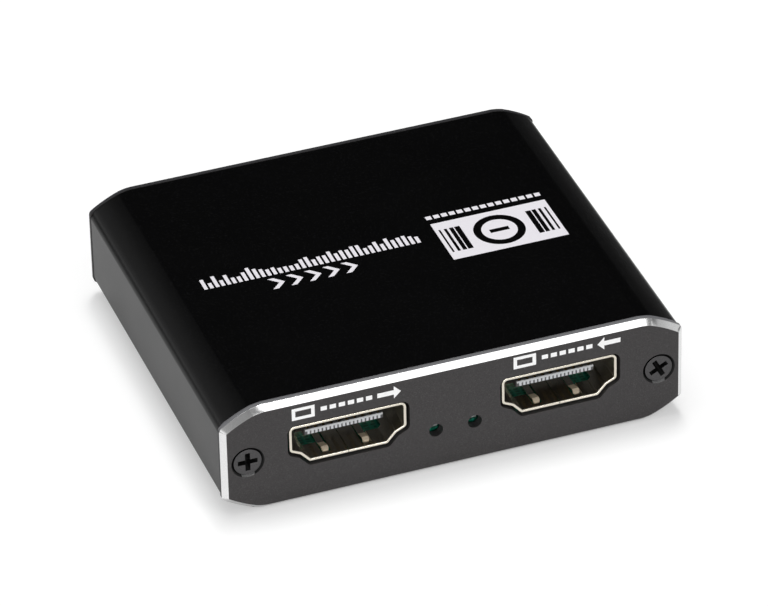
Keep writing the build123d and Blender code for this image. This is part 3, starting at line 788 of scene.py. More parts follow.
class Repeats:
    """Geometry trees for what repeats in a row, on given points, over an area or along an arc."""

    def __init__(self) -> None:
        """Builds each tree once."""
        self.row = self.build_row()
        self.on_points = self.build_on_points()
        self.scatter = self.build_scatter()
        self.arc = self.build_arc()

    @staticmethod
    def start(name: str, inputs: dict[str, Any]) -> tuple[Graph, Any, Node]:
        """Starts a tree that takes a mesh, values of its own and a material."""
        sockets = {"Geometry": "Geometry", **inputs, "Material": "Material"}
        return new_group(name, "GeometryNodeTree", sockets, {"Geometry": "Geometry"})

    @staticmethod
    def close(graph: Graph, given: Any, result: Node, made: Node) -> Tree:
        """Ends a tree with plain meshes in the given material.

        Args:
            graph: The tree's graph.
            given: What the tree is given.
            result: Its output node.
            made: The node that makes the meshes.

        Returns:
            The tree.
        """
        real = graph.add("GeometryNodeRealizeInstances", {0: made.outputs[0]})
        inputs = {"Geometry": real.outputs[0], "Material": given["Material"]}
        graph.feed(result, {0: graph.add("GeometryNodeSetMaterial", inputs).outputs[0]})
        return graph.tree

    def build_row(self) -> Tree:
        """Sets the piece's own mesh out in a row, its height drawn between a lowest share and one.

        Returns:
            The tree.
        """
        inputs = {"Count": 5, "Step": (MM, 0.0, 0.0), "Lowest share": 1.0, "Seed": 3}
        graph, given, result = self.start("row", inputs)
        line = graph.add("GeometryNodeMeshLine", {"Count": given["Count"], "Offset": given["Step"]},
                         mode="OFFSET")
        draw = graph.add("FunctionNodeRandomValue", {2: given["Lowest share"], 3: 1.0, "Seed": given["Seed"]},
                         data_type="FLOAT")
        scale = graph.add("ShaderNodeCombineXYZ", {"X": 1.0, "Y": draw.outputs[1], "Z": 1.0})
        return self.close(graph, given, result, graph.add("GeometryNodeInstanceOnPoints", {
            "Points": line.outputs[0], "Scale": scale.outputs[0], "Instance": given["Geometry"],
        }))

    def build_on_points(self) -> Tree:
        """Sets a unit object on each corner of the piece's own mesh.

        Returns:
            The tree.
        """
        graph, given, result = self.start("on points", {"Unit": "Object"})
        unit = graph.add("GeometryNodeObjectInfo", {"Object": given["Unit"]})
        return self.close(graph, given, result, graph.add("GeometryNodeInstanceOnPoints", {
            "Points": given["Geometry"], "Instance": unit.outputs["Geometry"],
        }))

    def build_scatter(self) -> Tree:
        """Scatters short round plugs over the piece's own faces.

        Returns:
            The tree.
        """
        inputs = {"Least gap": 1.2 * MM, "Density": 300000.0, "Radius": 0.2 * MM, "Depth": 0.03 * MM,
                  "Seed": 5, "Sides": 12}
        graph, given, result = self.start("scatter", inputs)
        points = graph.add("GeometryNodeDistributePointsOnFaces", {
            "Mesh": given["Geometry"], "Distance Min": given["Least gap"], "Density Max": given["Density"],
            "Seed": given["Seed"],
        }, distribute_method="POISSON")
        plug = graph.add("GeometryNodeMeshCylinder", {
            "Vertices": given["Sides"], "Radius": given["Radius"], "Depth": given["Depth"],
        })
        return self.close(graph, given, result, graph.add("GeometryNodeInstanceOnPoints", {
            "Points": points.outputs[0], "Instance": plug.outputs[0],
        }))

    def build_arc(self) -> Tree:
        """Draws a flat stroke along an arc in the XY plane.

        Returns:
            The tree.
        """
        inputs = {"Radius": MM, "Start": 0.0, "Sweep": math.pi, "Stroke": 0.25 * MM, "Thickness": 0.01 * MM,
                  "Points": 28}
        graph, given, result = self.start("arc", inputs)
        arc = graph.add("GeometryNodeCurveArc", {
            "Resolution": given["Points"], "Radius": given["Radius"], "Start Angle": given["Start"],
            "Sweep Angle": given["Sweep"],
        }, mode="RADIUS")
        section = graph.add("GeometryNodeCurvePrimitiveQuadrilateral", {
            "Width": given["Stroke"], "Height": given["Thickness"],
        }, mode="RECTANGLE")
        return self.close(graph, given, result, graph.add("GeometryNodeCurveToMesh", {
            "Curve": arc.outputs[0], "Profile Curve": section.outputs[0], "Fill Caps": True,
        }))

    @staticmethod
    def run(tree: Tree, mesh: Mesh, name: str, finish: Finish, values: dict[str, Any]) -> Mesh:
        """Runs a tree on a mesh.

        Args:
            tree: The geometry tree.
            mesh: What the tree takes as its geometry.
            name: The new mesh's name.
            finish: The finish that the tree sets.
            values: A value for each other named input.

        Returns:
            The plain result.
        """
        host = new_object(name + "_source", mesh)
        modifier = host.modifiers.new("repeat", "NODES")
        modifier.node_group = tree
        values = {**values, "Material": finish.material()}
        for item in tree.interface.items_tree:
            if item.in_out == "INPUT" and item.name in values:
                modifier[item.identifier] = values[item.name]
        graph = bpy.context.evaluated_depsgraph_get()
        result = bpy.data.meshes.new_from_object(host.evaluated_get(graph), depsgraph=graph)
        result.name = name
        host.modifiers.clear()
        bpy.data.objects.remove(host)
        return result


repeats = Repeats()


def joined(meshes: Sequence[Mesh], name: str, finish: Finish) -> Mesh:
    """Joins several meshes in one finish.

    Args:
        meshes: The meshes.
        name: The new mesh's name.
        finish: The finish.

    Returns:
        The new mesh.
    """
    work = bmesh.new()
    for mesh in meshes:
        work.from_mesh(mesh)
    result = new_mesh(name, work)
    result.materials.append(finish.material())
    for face in result.polygons:
        face.material_index = 0
    return result


@dataclass
class CaseSleeve:
    """The extruded sleeve."""

    ink_room: float = 0.012 * MM
    side_reach: float = 0.7 * MM
    edge_slant: Point = (0.3, 0.95)

    def build(self) -> None:
        """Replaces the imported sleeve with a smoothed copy, its top a little lower for the ink."""
        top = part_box("case_sleeve")[1].z

        def lowered(corner: Vector) -> Vector:
            """Gives room to the ink on the top face."""
            return Vector((corner.x, corner.y, min(corner.z, top - self.ink_room)))

        def face_finish(face: Face) -> int:
            """Picks bare metal for the broken end edges."""
            return int(self.edge_slant[0] < abs(face.normal.y) < self.edge_slant[1])

        refined_copy("case_sleeve", (Finishes.sleeve, Finishes.sleeve_edge), face_finish,
                     shift=lowered, soften=CaseOutline(side_reach=self.side_reach).soften, name="sleeve")


def screw_axes(node: str) -> list[Vector]:
    """The axes of a packed pair of screws.

    Args:
        node: The pair.

    Returns:
        A point on each axis.
    """
    low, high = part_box(node)
    radius = (high.z - low.z) / 2
    return [Vector((x, 0, low.z + radius)) for x in (low.x + radius, high.x - radius)]


def way_out(place: Vector, axes: Sequence[Vector]) -> Vector:
    """The way out to a place from the nearer of several axes."""
    flat = Vector((place.x, 0, place.z))
    return min((flat - axis for axis in axes), key=lambda way: way.length)


@dataclass
class EndPlate:
    """One of the two end plates."""

    facing: Facing
    ink_room: float = 0.012 * MM
    sink_radius: float = 2.4 * MM
    sink_slant: Point = (0.5, 0.9)
    rim_slant: Point = (0.3, 0.9)
    top_slant: float = 0.3
    side_reach: float = 7.3 * MM
    # How far down a countersink face points before it takes the painted highlight.
    painted_highlight_share: float = 0.9
    edge_round: float = 0.04 * MM
    edge_room: float = 0.003 * MM

    def build(self) -> None:
        """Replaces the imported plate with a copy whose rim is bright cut."""
        node = self.facing.value + "_plate"
        low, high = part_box(node)
        front = self.facing is Facing.FRONT
        axes = screw_axes(self.facing.value + "_screws")

        def moved_back(corner: Vector) -> Vector:
            """Gives room to the ink on the plate's face and to the softened edges.

            Args:
                corner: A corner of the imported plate.

            Returns:
                Its new place.
            """
            room = self.ink_room
            depth = max(corner.y, low.y + room) if front else min(corner.y, high.y - room)
            height = min(max(corner.z, low.z + self.edge_room), high.z - self.edge_room)
            return Vector((corner.x, depth, height))

        def face_finish(face: Face) -> int:
            """Tells the slanted rim, the flush side and the countersinks from the plate's flat faces; the
            countersinks are split into painted shade above and a painted highlight below.

            Args:
                face: A face of the plate.

            Returns:
                Its kind.
            """
            middle, slant = face.calc_center_median(), abs(face.normal.y)
            way = way_out(middle, axes)
            if way.length < self.sink_radius:
                if not self.sink_slant[0] < slant < self.sink_slant[1]:
                    return PlateFace.FLAT
                # The lower part of each countersink takes the painted highlight, the rest painted shade.
                return PlateFace.WORN_SINK if -way.z > self.painted_highlight_share * way.length else PlateFace.SINK
            if slant > self.rim_slant[0]:
                return PlateFace.RIM if slant < self.rim_slant[1] else PlateFace.FLAT
            if middle.x * face.normal.x + (middle.z - axes[0].z) * face.normal.z < self.side_reach:
                return PlateFace.FLAT
            # The upward flush side of the front plate takes the lighter finish, a painted highlight.
            return PlateFace.TOP if front and face.normal.z > self.top_slant else PlateFace.SIDE

        finishes = [Finishes.plate, Finishes.bevel, Finishes.plate_side, Finishes.countersink,
                    Finishes.painted_highlight_sink]
        if front:
            finishes.append(Finishes.plate_top)
        refined_copy(node, finishes, face_finish, self.edge_round, moved_back,
                     CaseOutline().soften, edge_steps=1)


@dataclass
class Screws:
    """The two countersunk screws of one end."""

    facing: Facing
    edge_round: float = 0.06 * MM
    head_trim: float = 0.1 * MM
    recess_reach: float = 1.32 * MM
    recess_depth: float = 0.9 * MM
    face_depth: float = 0.02 * MM

    def build(self) -> None:
        """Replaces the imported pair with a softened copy."""
        node = self.facing.value + "_screws"
        low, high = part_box(node)
        face_y = low.y if self.facing is Facing.FRONT else high.y
        axes = screw_axes(node)

        def trimmed(corner: Vector) -> Vector:
            """Draws the rim of the head in a little.

            Args:
                corner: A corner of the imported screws.

            Returns:
                Its new place.
            """
            way = way_out(corner, axes)
            at_rim = way.length > self.recess_reach + self.head_trim
            return corner - way.normalized() * self.head_trim if at_rim else corner

        def face_finish(face: Face) -> int:
            """Picks the near-black finish, painted shade, for the inside of the recess.

            Args:
                face: A face of a screw.

            Returns:
                One inside the recess, and zero elsewhere.
            """
            middle = face.calc_center_median()
            deep = self.face_depth < abs(middle.y - face_y) < self.recess_depth
            return int(deep and way_out(middle, axes).length < self.recess_reach)

        refined_copy(node, (Finishes.screw, Finishes.recess), face_finish, self.edge_round,
                     trimmed)


@dataclass
class VideoSocket:
    """A video socket: shell, comb and contacts.

    The edges and ends of its fingers and of their slots are each as packed and as shown.
    """

    prefix: str
    ridge_count: int = 19
    ridge_pitch: float = 0.5 * MM
    ridge_width: float = 0.3 * MM
    ridge_reach: float = 0.1 * MM
    ridge_height: float = 0.47 * MM
    lip_height: float = 0.22 * MM
    lip_reach: float = 0.13 * MM
    lip_slant: float = 0.09 * MM
    lip_width: float = 9.9 * MM
    tip_depth: float = 0.3 * MM
    tip_slant: float = 0.3
    edge_round: float = 0.02 * MM
    finger_spacing: float = 5.2 * MM
    finger_edge: Point = (0.6 * MM, 0.43 * MM)
    finger_end: Point = (0.6 * MM, 0.9 * MM)
    slot_edge: Point = (0.9 * MM, 0.6 * MM)
    slot_end: Point = (0.3 * MM, 0.72 * MM)
    finger_round: float = 0.3 * MM
    round_steps: int = 4
    finger_rise: float = 0.75 * MM
    finger_half: float = 0.62 * MM
    finger_start: float = 0.5 * MM
    finger_reach: float = 2.6 * MM

    def lip(self, low: Vector, middle_x: float, top: float) -> Mesh:
        """The slanted lip along the top of the tongue's tip.

        Args:
            low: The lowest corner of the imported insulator.
            middle_x: The socket's middle.
            top: The tongue's top.

        Returns:
            The lip's mesh.
        """
        front, bottom = low.y - self.lip_reach, top - self.lip_height
        profile = [(low.y, top), (front + self.lip_slant, top), (front, top - self.lip_slant),
                   (front, bottom), (low.y, bottom)]
        mesh = flat_plate([profile], self.lip_width)
        # The profile is drawn as y and z, and the plate's thickness becomes the lip's width along X.
        on_edge = Matrix(((0, 0, -1, 0), (1, 0, 0, 0), (0, 1, 0, 0), (0, 0, 0, 1)))
        mesh.transform(on_edge)
        mesh.flip_normals()
        return moved(mesh, middle_x - self.lip_width / 2, 0)

    def comb(self) -> None:
        """Adds the lip and the ridges under it, one between each two contacts."""
        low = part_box(self.prefix + "_insulator")[0]
        middle_x = middle_of(self.prefix + "_insulator").x
        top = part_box(self.prefix + "_contacts")[1].z
        start = middle_x - self.ridge_pitch * (self.ridge_count - 1) / 2
        unit = flat_plate([rectangle(self.ridge_width, self.ridge_reach)], self.ridge_height)
        moved(unit, start, low.y - self.ridge_reach / 2, top - self.lip_height)
        ridges = repeats.run(repeats.row, unit, self.prefix + "_ridges", Finishes.comb, {
            "Count": self.ridge_count, "Step": (self.ridge_pitch, 0.0, 0.0), "Seed": 1,
        })
        comb = joined([self.lip(low, middle_x, top), ridges], self.prefix + "_comb", Finishes.comb)
        add_piece(comb)

    def shell(self) -> None:
        """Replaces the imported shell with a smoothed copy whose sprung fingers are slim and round-ended."""
        node = self.prefix + "_shell"
        low, middle_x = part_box(node)[0], middle_of(node).x
        finger_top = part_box(self.prefix + "_insulator")[0].z + self.finger_rise

        def from_finger(place: Vector) -> float:
            """How far a place lies beside the middle of the nearer finger."""
            side = math.copysign(1, place.x - middle_x)
            return place.x - middle_x - side * self.finger_spacing / 2

        def narrowed(corner: Vector) -> Vector:
            """Makes the fingers narrower and shorter, with their slots' edges near them.

            Args:
                corner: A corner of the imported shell.

            Returns:
                Its new place.
            """
            place, aside = corner.copy(), from_finger(corner)
            if corner.z > finger_top:
                return place
            for edge, wanted in (self.finger_edge, self.slot_edge):
                if abs(abs(aside) - edge) < self.edge_round:
                    place.x -= math.copysign(edge - wanted, aside)
            for end, wanted in (self.finger_end, self.slot_end):
                at_end = abs(corner.y - low.y - end) < self.edge_round
                if at_end and abs(aside) < self.slot_edge[0] + self.edge_round:
                    place.y = low.y + wanted
            return place

        def rounded(work: bmesh.types.BMesh) -> None:
            """Rounds the free ends of the fingers.

            Args:
                work: The shell's merged mesh.
            """
            ends = {corner for corner in work.verts if corner.co.z < finger_top
                    and abs(corner.co.y - low.y - self.finger_end[1]) < self.edge_round}
            edges = [edge for edge in work.edges if ends.issuperset(edge.verts)
                     and abs(edge.verts[0].co.x - edge.verts[1].co.x) < self.edge_round]
            bevel_edges(work, edges, self.finger_round, self.round_steps)

        def face_finish(face: Face) -> int:
            """Picks the paler tan finish, painted light, for the raised end of a finger.

            Args:
                face: A face of the shell.

            Returns:
                One there, and zero elsewhere.
            """
            middle = face.calc_center_median()
            raised = middle.z < finger_top and self.finger_start < middle.y - low.y < self.finger_reach
            return int(raised and abs(from_finger(middle)) < self.finger_half)

        refined_copy(node, (Finishes.shell, Finishes.finger), face_finish, self.edge_round,
                     narrowed, rounded)

    def build(self) -> None:
        """Replaces the shell and insulator with smoothed copies and adds the comb."""
        node = self.prefix + "_insulator"
        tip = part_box(node)[0].y + self.tip_depth

        def face_finish(face: Face) -> int:
            """Picks the tongue's tip; the rest of the moulding is blacker."""
            return 0 if face.normal.y < -self.tip_slant and face.calc_center_median().y < tip else 1

        self.shell()
        refined_copy(node, (Finishes.tongue_tip, Finishes.black), face_finish)
        dress_node(self.prefix + "_contacts", Finishes.gilt)
        self.comb()


@dataclass
class DataSocket:
    """The data socket in the rear plate."""

    edge_round: float = 0.02 * MM

    def build(self) -> None:
        """Smooths the shell and dresses the tongue and contacts."""
        refined_copy("data_socket_shell", [Finishes.shell], edge_round=self.edge_round)
        refined_copy("data_socket_tongue", [Finishes.black])
        dress_node("data_socket_contacts", Finishes.gilt)


@dataclass
class SoundJack:
    """One of the two sound jacks."""

    prefix: str
    edge_round: float = 0.04 * MM

    def build(self) -> None:
        """Smooths the body and dresses the springs."""
        refined_copy(self.prefix + "_body", [Finishes.black], edge_round=self.edge_round)
        dress_node(self.prefix + "_springs", Finishes.gilt)


@dataclass
class CircuitBoard:
    """The board, what stands on it, its solder and its printed outlines."""

    legend_thickness: float = 0.012 * MM
    legend_stroke: float = 0.12 * MM
    legend_gap: float = 0.25 * MM
    via_radius: float = 0.22 * MM
    via_depth: float = 0.03 * MM
    via_margin: float = 1.5 * MM
    via_gap: float = 1.1 * MM
    via_density: float = 400000.0
    cell: float = 0.5 * MM
    open_parts: tuple[str, ...] = ("case_sleeve", "circuit_board")
    dot_inset: float = 0.45 * MM
    dot_radius: float = 0.3 * MM
    dot_steps: int = 16
    leg_inset: float = 0.2 * MM
    leg_depths: tuple[float, ...] = (2.8 * MM, 8.6 * MM)
    drop_radius: float = 0.85 * MM
    drop_height: float = 0.42 * MM
    drop_steps: int = 16

    def dress_parts(self) -> None:
        """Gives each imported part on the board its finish."""
        plain = {
            "circuit_board": Finishes.board, "status_lamp_bases": Finishes.lamp_base,
            "status_lamp_lenses": Finishes.lens, "surge_arrays": Finishes.chip, "crystals": Finishes.crystal,
            "power_coils": Finishes.ferrite, "power_regulators": Finishes.chip,
            "power_regulator_leads": Finishes.tin, "bulk_capacitors": Finishes.amber,
            "ceramic_capacitors": Finishes.ceramic, "resistors": Finishes.resistor, "heat_pad": Finishes.pad,
            "repeater_chip": Finishes.chip,
        }
        for chip in ("capture_chip", "receiver_chip", "sound_chip", "memory_chip"):
            plain[chip] = Finishes.chip
            plain[chip + "_leads"] = Finishes.tin
        for node, finish in plain.items():
            dress_node(node, finish)

    def legend(self) -> None:
        """Prints a thin outline round each chip."""
        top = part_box("circuit_board")[1].z + self.legend_thickness
        outlines = []
        for node in ("capture_chip_leads", "receiver_chip_leads", "repeater_chip", "sound_chip_leads",
                     "memory_chip_leads"):
            low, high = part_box(node)
            middle = ((low.x + high.x) / 2, (low.y + high.y) / 2)
            inner = [size + 2 * self.legend_gap for size in (high.x - low.x, high.y - low.y)]
            outer = [size + 2 * self.legend_stroke for size in inner]
            ring = flat_plate([rectangle(*outer, middle), rectangle(*inner, middle)], self.legend_thickness)
            outlines.append(moved(ring, 0, 0, top))
        add_piece(joined(outlines, "board_legend", Finishes.legend))

    def free_area(self) -> Mesh:
        """Finds the cells of the board's upper side that no part stands on.

        Returns:
            The cells, as loose squares.
        """
        low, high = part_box("circuit_board")
        boxes = [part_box(node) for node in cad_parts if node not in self.open_parts]
        taken = [box for box in boxes if box[0].z < high.z + self.cell and box[1].z > high.z]
        area = bmesh.new()
        counts = [int((size - 2 * self.via_margin) / self.cell) for size in (high.x - low.x, high.y - low.y)]
        for column in range(counts[0]):
            for place in range(counts[1]):
                middle = Vector((low.x + self.via_margin + (column + 0.5) * self.cell,
                                 low.y + self.via_margin + (place + 0.5) * self.cell))
                if not any(part_low.x - self.cell < middle.x < part_high.x + self.cell
                           and part_low.y - self.cell < middle.y < part_high.y + self.cell
                           for part_low, part_high in taken):
                    corners = rectangle(self.cell, self.cell, middle)
                    area.faces.new([area.verts.new((*corner, high.z)) for corner in corners])
        return new_mesh("free board area", area)

    def set_out(self, unit: Mesh, points: Sequence[Vector], name: str, finish: Finish) -> None:
        """Sets one small shape on each of several points.

        Args:
            unit: The shape, about the origin.
            points: Where it goes.
            name: The new piece's name.
            finish: Its finish.
        """
        shape = new_object("unit", unit)
        places = bpy.data.meshes.new("places")
        places.from_pydata([tuple(point) for point in points], [], [])
        mesh = repeats.run(repeats.on_points, places, name, finish, {"Unit": shape})
        bpy.data.objects.remove(shape)
        add_piece(mesh)

    def chip_marks(self) -> None:
        """Marks the first lead of each chip with a dot."""
        points = []
        for node in ("receiver_chip", "repeater_chip", "sound_chip", "memory_chip", "capture_chip"):
            low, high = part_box(node)
            inset = self.dot_inset + self.dot_radius
            points.append(Vector((low.x + inset, high.y - inset, high.z + self.legend_thickness)))
        dot = flat_plate([circle(self.dot_radius, steps=self.dot_steps)], self.legend_thickness)
        self.set_out(dot, points, "chip_dots", Finishes.legend)

    def solder(self) -> None:
        """Puts a drop of solder round each leg of the video sockets, under the board."""
        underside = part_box("circuit_board")[0].z
        points = []
        for node in ("video_out_shell", "video_in_shell"):
            low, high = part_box(node)
            for x in (low.x + self.leg_inset, high.x - self.leg_inset):
                points += [Vector((x, low.y + depth, underside)) for depth in self.leg_depths]
        work = bmesh.new()
        bmesh.ops.create_uvsphere(work, u_segments=self.drop_steps, v_segments=self.drop_steps // 2,
                                  radius=self.drop_radius)
        bmesh.ops.scale(work, vec=(1.0, 1.0, self.drop_height / self.drop_radius), verts=work.verts)
        drop = new_mesh("drop", work)
        drop.shade_smooth()
        self.set_out(drop, points, "solder_drops", Finishes.solder)

    def vias(self) -> None:
        """Scatters plated holes over the free parts of the board."""
        add_piece(repeats.run(repeats.scatter, self.free_area(), "board_vias", Finishes.tin, {
            "Least gap": self.via_gap, "Density": self.via_density, "Radius": self.via_radius,
            "Depth": self.via_depth, "Seed": 5,
        }))

    def build(self) -> None:
        """Dresses the board and adds its print, dots, solder and plated holes."""
        self.dress_parts()
        self.legend()
        self.chip_marks()
        self.solder()
        self.vias()


@dataclass
class PrintedMarks:
    """Generic marks in flat ink, whose upper side lies at height zero until they are printed."""

    thickness: float = 0.01 * MM
    inset: float = 0.001 * MM
    screen_size: Point = (2.9 * MM, 1.7 * MM)
    screen_hole: Point = (2.0 * MM, 0.85 * MM)

    def mark(self, *outlines: Outline) -> Mesh:
        """One flat mark."""
        return flat_plate(outlines, self.thickness)

    def row(self, outline: Outline, name: str, start: Point, count: int, step: float, ink: Finish,
            lowest: float = 1.0, seed: int = 1) -> Mesh:
        """Repeats one flat mark along X.

        Args:
            outline: The mark's outline.
            name: The mesh's name.
            start: Where the first mark goes.
            count: How many there are.
            step: From one to the next.
            ink: The ink.
            lowest: The least share of the height that a mark may have.
            seed: Fixes which heights are drawn.

        Returns:
            The marks.
        """
        mesh = repeats.run(repeats.row, self.mark(outline), name, ink, {
            "Count": count, "Step": (step, 0.0, 0.0), "Lowest share": lowest, "Seed": seed,
        })
        return moved(mesh, *start)

    def screen(self, middle: Point) -> Mesh:
        """The frame of a small screen."""
        return self.mark(rectangle(*self.screen_size, middle), rectangle(*self.screen_hole, middle))


@dataclass
class TopMarks(PrintedMarks):
    """A level meter, chevrons, squares and a test card on the sleeve's top."""

    meter_place: Point = (-22.8 * MM, 0.1 * MM)
    meter_size: Point = (28.5 * MM, 2.7 * MM)
    meter_count: int = 38
    bar_share: float = 0.62
    bar_least: float = 0.35
    bar_seed: int = 4
    chevron_place: Point = (-14.0 * MM, -1.75 * MM)
    chevron_size: Triple = (1.9 * MM, 2.3 * MM, 0.75 * MM)
    chevron_count: int = 5
    chevron_step: float = 2.375 * MM
    card_middle: Point = (15.4 * MM, -0.8 * MM)
    card_size: Point = (15.2 * MM, 8.4 * MM)
    ring_shares: Point = (0.39, 0.27)
    slot_shares: Point = (0.3, 0.09)
    line_shares: tuple[float, ...] = (0.085, 0.065, 0.045, 0.03)
    line_start: float = 0.31
    line_step: float = 0.05
    line_height: float = 0.62
    squares_place: Point = (8.1 * MM, 4.8 * MM)
    square_side: float = 0.75 * MM
    square_count: int = 15

    def meter(self) -> Mesh:
        """A level meter's bars, each with its own height.

        Returns:
            The bars.
        """
        step = self.meter_size[0] / self.meter_count
        width, height = self.bar_share * step, self.meter_size[1]
        bar = rectangle(width, height, (width / 2, height / 2))
        return self.row(bar, "meter", self.meter_place, self.meter_count, step, Finishes.top_ink,
                        self.bar_least, self.bar_seed)

    def chevrons(self) -> Mesh:
        """Angle brackets that point the way the picture runs."""
        return self.row(chevron(*self.chevron_size), "chevrons", self.chevron_place, self.chevron_count,
                        self.chevron_step, Finishes.top_ink)

    def squares(self) -> Mesh:
        """A row of small squares, as wide as the card.

        Returns:
            The squares.
        """
        shape = rectangle(self.square_side, self.square_side)
        step = (self.card_size[0] - self.square_side) / (self.square_count - 1)
        return self.row(shape, "squares", self.squares_place, self.square_count, step, Finishes.top_ink)

    def card(self) -> Mesh:
        """A test card: a pale block with a ring and wedges of lines left out.

        Returns:
            The card.
        """
        (x, y), (width, height) = self.card_middle, self.card_size
        outlines = [rectangle(width, height, (x, y))]
        outlines += [circle(share * height, (x, y)) for share in self.ring_shares]
        outlines.append(rectangle(*(share * height for share in self.slot_shares), (x, y)))
        for side in (-1, 1):
            for index, share in enumerate(self.line_shares):
                middle = (x + side * (self.line_start + self.line_step * index) * width, y)
                outlines.append(rectangle(share * height, self.line_height * height, middle))
        return self.mark(*outlines)

    def build(self) -> None:
        """Prints the marks on the sleeve's top."""
        marks = joined([self.meter(), self.chevrons(), self.squares(), self.card()], "top_print",
                       Finishes.top_ink)
        add_piece(moved(marks, 0, 0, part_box("case_sleeve")[1].z - self.inset))


@dataclass
class FrontMarks(PrintedMarks):
    """A screen, a dashed line and an arrow over each video socket."""

    out_start: Point = (-7.0 * MM, 12.9 * MM)
    in_start: Point = (-5.9 * MM, 13.1 * MM)
    screen_place: float = 1.3 * MM
    dash_place: float = 3.9 * MM
    dash_size: Point = (0.8 * MM, 0.6 * MM)
    dash_count: int = 6
    dash_step: float = 1.15 * MM
    arrow_place: float = 12.2 * MM
    arrow_size: Triple = (3.0 * MM, 1.8 * MM, 0.65 * MM)

    def panel(self, node: str, start: Point, side: int) -> list[Mesh]:
        """The marks over one video socket.

        Args:
            node: The socket's shell.
            start: Where they start, from the socket's middle, and their middle height.
            side: One for an arrow that points along X, minus one for the other way.

        Returns:
            The marks, laid out as (x, height).
        """
        x, height = middle_of(node).x + start[0], start[1]
        dashes = self.row(rectangle(*self.dash_size), "dashes", (x + self.dash_place, height),
                          self.dash_count, self.dash_step, Finishes.panel_ink)
        pointer = self.mark([(side * along, side * up) for along, up in arrow(*self.arrow_size)])
        return [self.screen((x + self.screen_place, height)), dashes,
                moved(pointer, x + self.arrow_place, height)]

    def build(self) -> None:
        """Prints the marks on the front plate."""
        marks = self.panel("video_out_shell", self.out_start, 1)
        marks += self.panel("video_in_shell", self.in_start, -1)
        mesh = joined(marks, "front_print", Finishes.panel_ink)
        mesh.transform(Matrix.Rotation(math.pi / 2, 4, "X"))
        add_piece(moved(mesh, 0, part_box("front_plate")[0].y + self.inset))


@dataclass
class RearMarks(PrintedMarks):
    """Small pictures of a microphone, a pair of headphones and a data link."""

    height: float = 12.5 * MM
    bow_stroke: float = 0.26 * MM
    bow_radius: float = 0.62 * MM
    head_size: Point = (0.31 * MM, 1.4 * MM)
    head_rise: float = 0.3 * MM
    stem_size: Point = (0.2 * MM, 0.42 * MM)
    stem_drop: float = 0.95 * MM
    base_size: Point = (0.9 * MM, 0.2 * MM)
    base_drop: float = 1.2 * MM
    band_radius: float = 0.85 * MM
    band_drop: float = 0.15 * MM
    cup_size: Point = (0.42 * MM, 0.85 * MM)
    cup_drop: float = 0.55 * MM
    screen_place: float = 1.9 * MM
    arrow_size: Triple = (2.6 * MM, 1.5 * MM, 0.55 * MM)
    arrow_place: float = -1.4 * MM

    def bow(self, radius: float, start: float, middle: Point = (0.0, 0.0)) -> Mesh:
        """Half a ring.

        Args:
            radius: The ring's radius.
            start: The angle that it starts at.
            middle: Its middle.

        Returns:
            The bow's mesh.
        """
        mesh = repeats.run(repeats.arc, bpy.data.meshes.new("bow source"), "bow", Finishes.panel_ink, {
            "Radius": radius, "Start": start, "Stroke": self.bow_stroke, "Thickness": self.thickness,
        })
        return moved(mesh, *middle, -self.thickness / 2)

    def microphone(self) -> list[Mesh]:
        """A microphone: its head, the bow round it and its stem.

        Returns:
            The marks.
        """
        shapes = (capsule(*self.head_size, (0, self.head_rise)),
                  rectangle(*self.stem_size, (0, -self.stem_drop)),
                  rectangle(*self.base_size, (0, -self.base_drop)))
        return [self.mark(shape) for shape in shapes] + [self.bow(self.bow_radius, math.pi)]

    def headphones(self) -> list[Mesh]:
        """A pair of headphones: its two cups and its band."""
        cups = [rectangle(*self.cup_size, (side * self.band_radius, -self.cup_drop)) for side in (-1, 1)]
        return [self.mark(cup) for cup in cups] + [self.bow(self.band_radius, 0.0, (0, -self.band_drop))]

    def data_link(self) -> list[Mesh]:
        """A small screen and an arrow that points to it."""
        pointer = moved(self.mark(arrow(*self.arrow_size)), self.arrow_place, 0)
        return [self.screen((self.screen_place, 0)), pointer]

    def build(self) -> None:
        """Prints the marks over the data socket and the two jacks."""
        marks = []
        for node, shapes in (("microphone_jack_body", self.microphone()),
                             ("headphone_jack_body", self.headphones()),
                             ("data_socket_shell", self.data_link())):
            marks += [moved(shape, -middle_of(node).x, self.height) for shape in shapes]
        mesh = joined(marks, "rear_print", Finishes.panel_ink)
        mesh.transform(Matrix.Rotation(math.pi, 4, "Z") @ Matrix.Rotation(math.pi / 2, 4, "X"))
        add_piece(moved(mesh, 0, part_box("rear_plate")[1].y - self.inset))


@dataclass(frozen=True)
class Softbox:
    """One soft light, hung in a given direction from the object."""

    name: str
    toward: Triple
    size: Point
    power: float
    distance: float = 0.9

    def hang(self) -> None:
        """Adds the light to the scene."""
        lamp = bpy.data.lights.new(self.name, "AREA")
        lamp.shape = "RECTANGLE"
        lamp.size, lamp.size_y = self.size
        lamp.energy = self.power
        made = new_object(self.name, lamp)
        direction = Vector(self.toward).normalized()
        made.location = direction * self.distance
        made.rotation_mode = "QUATERNION"
        made.rotation_quaternion = direction.to_track_quat("Z", "Y")
        made.visible_camera = False


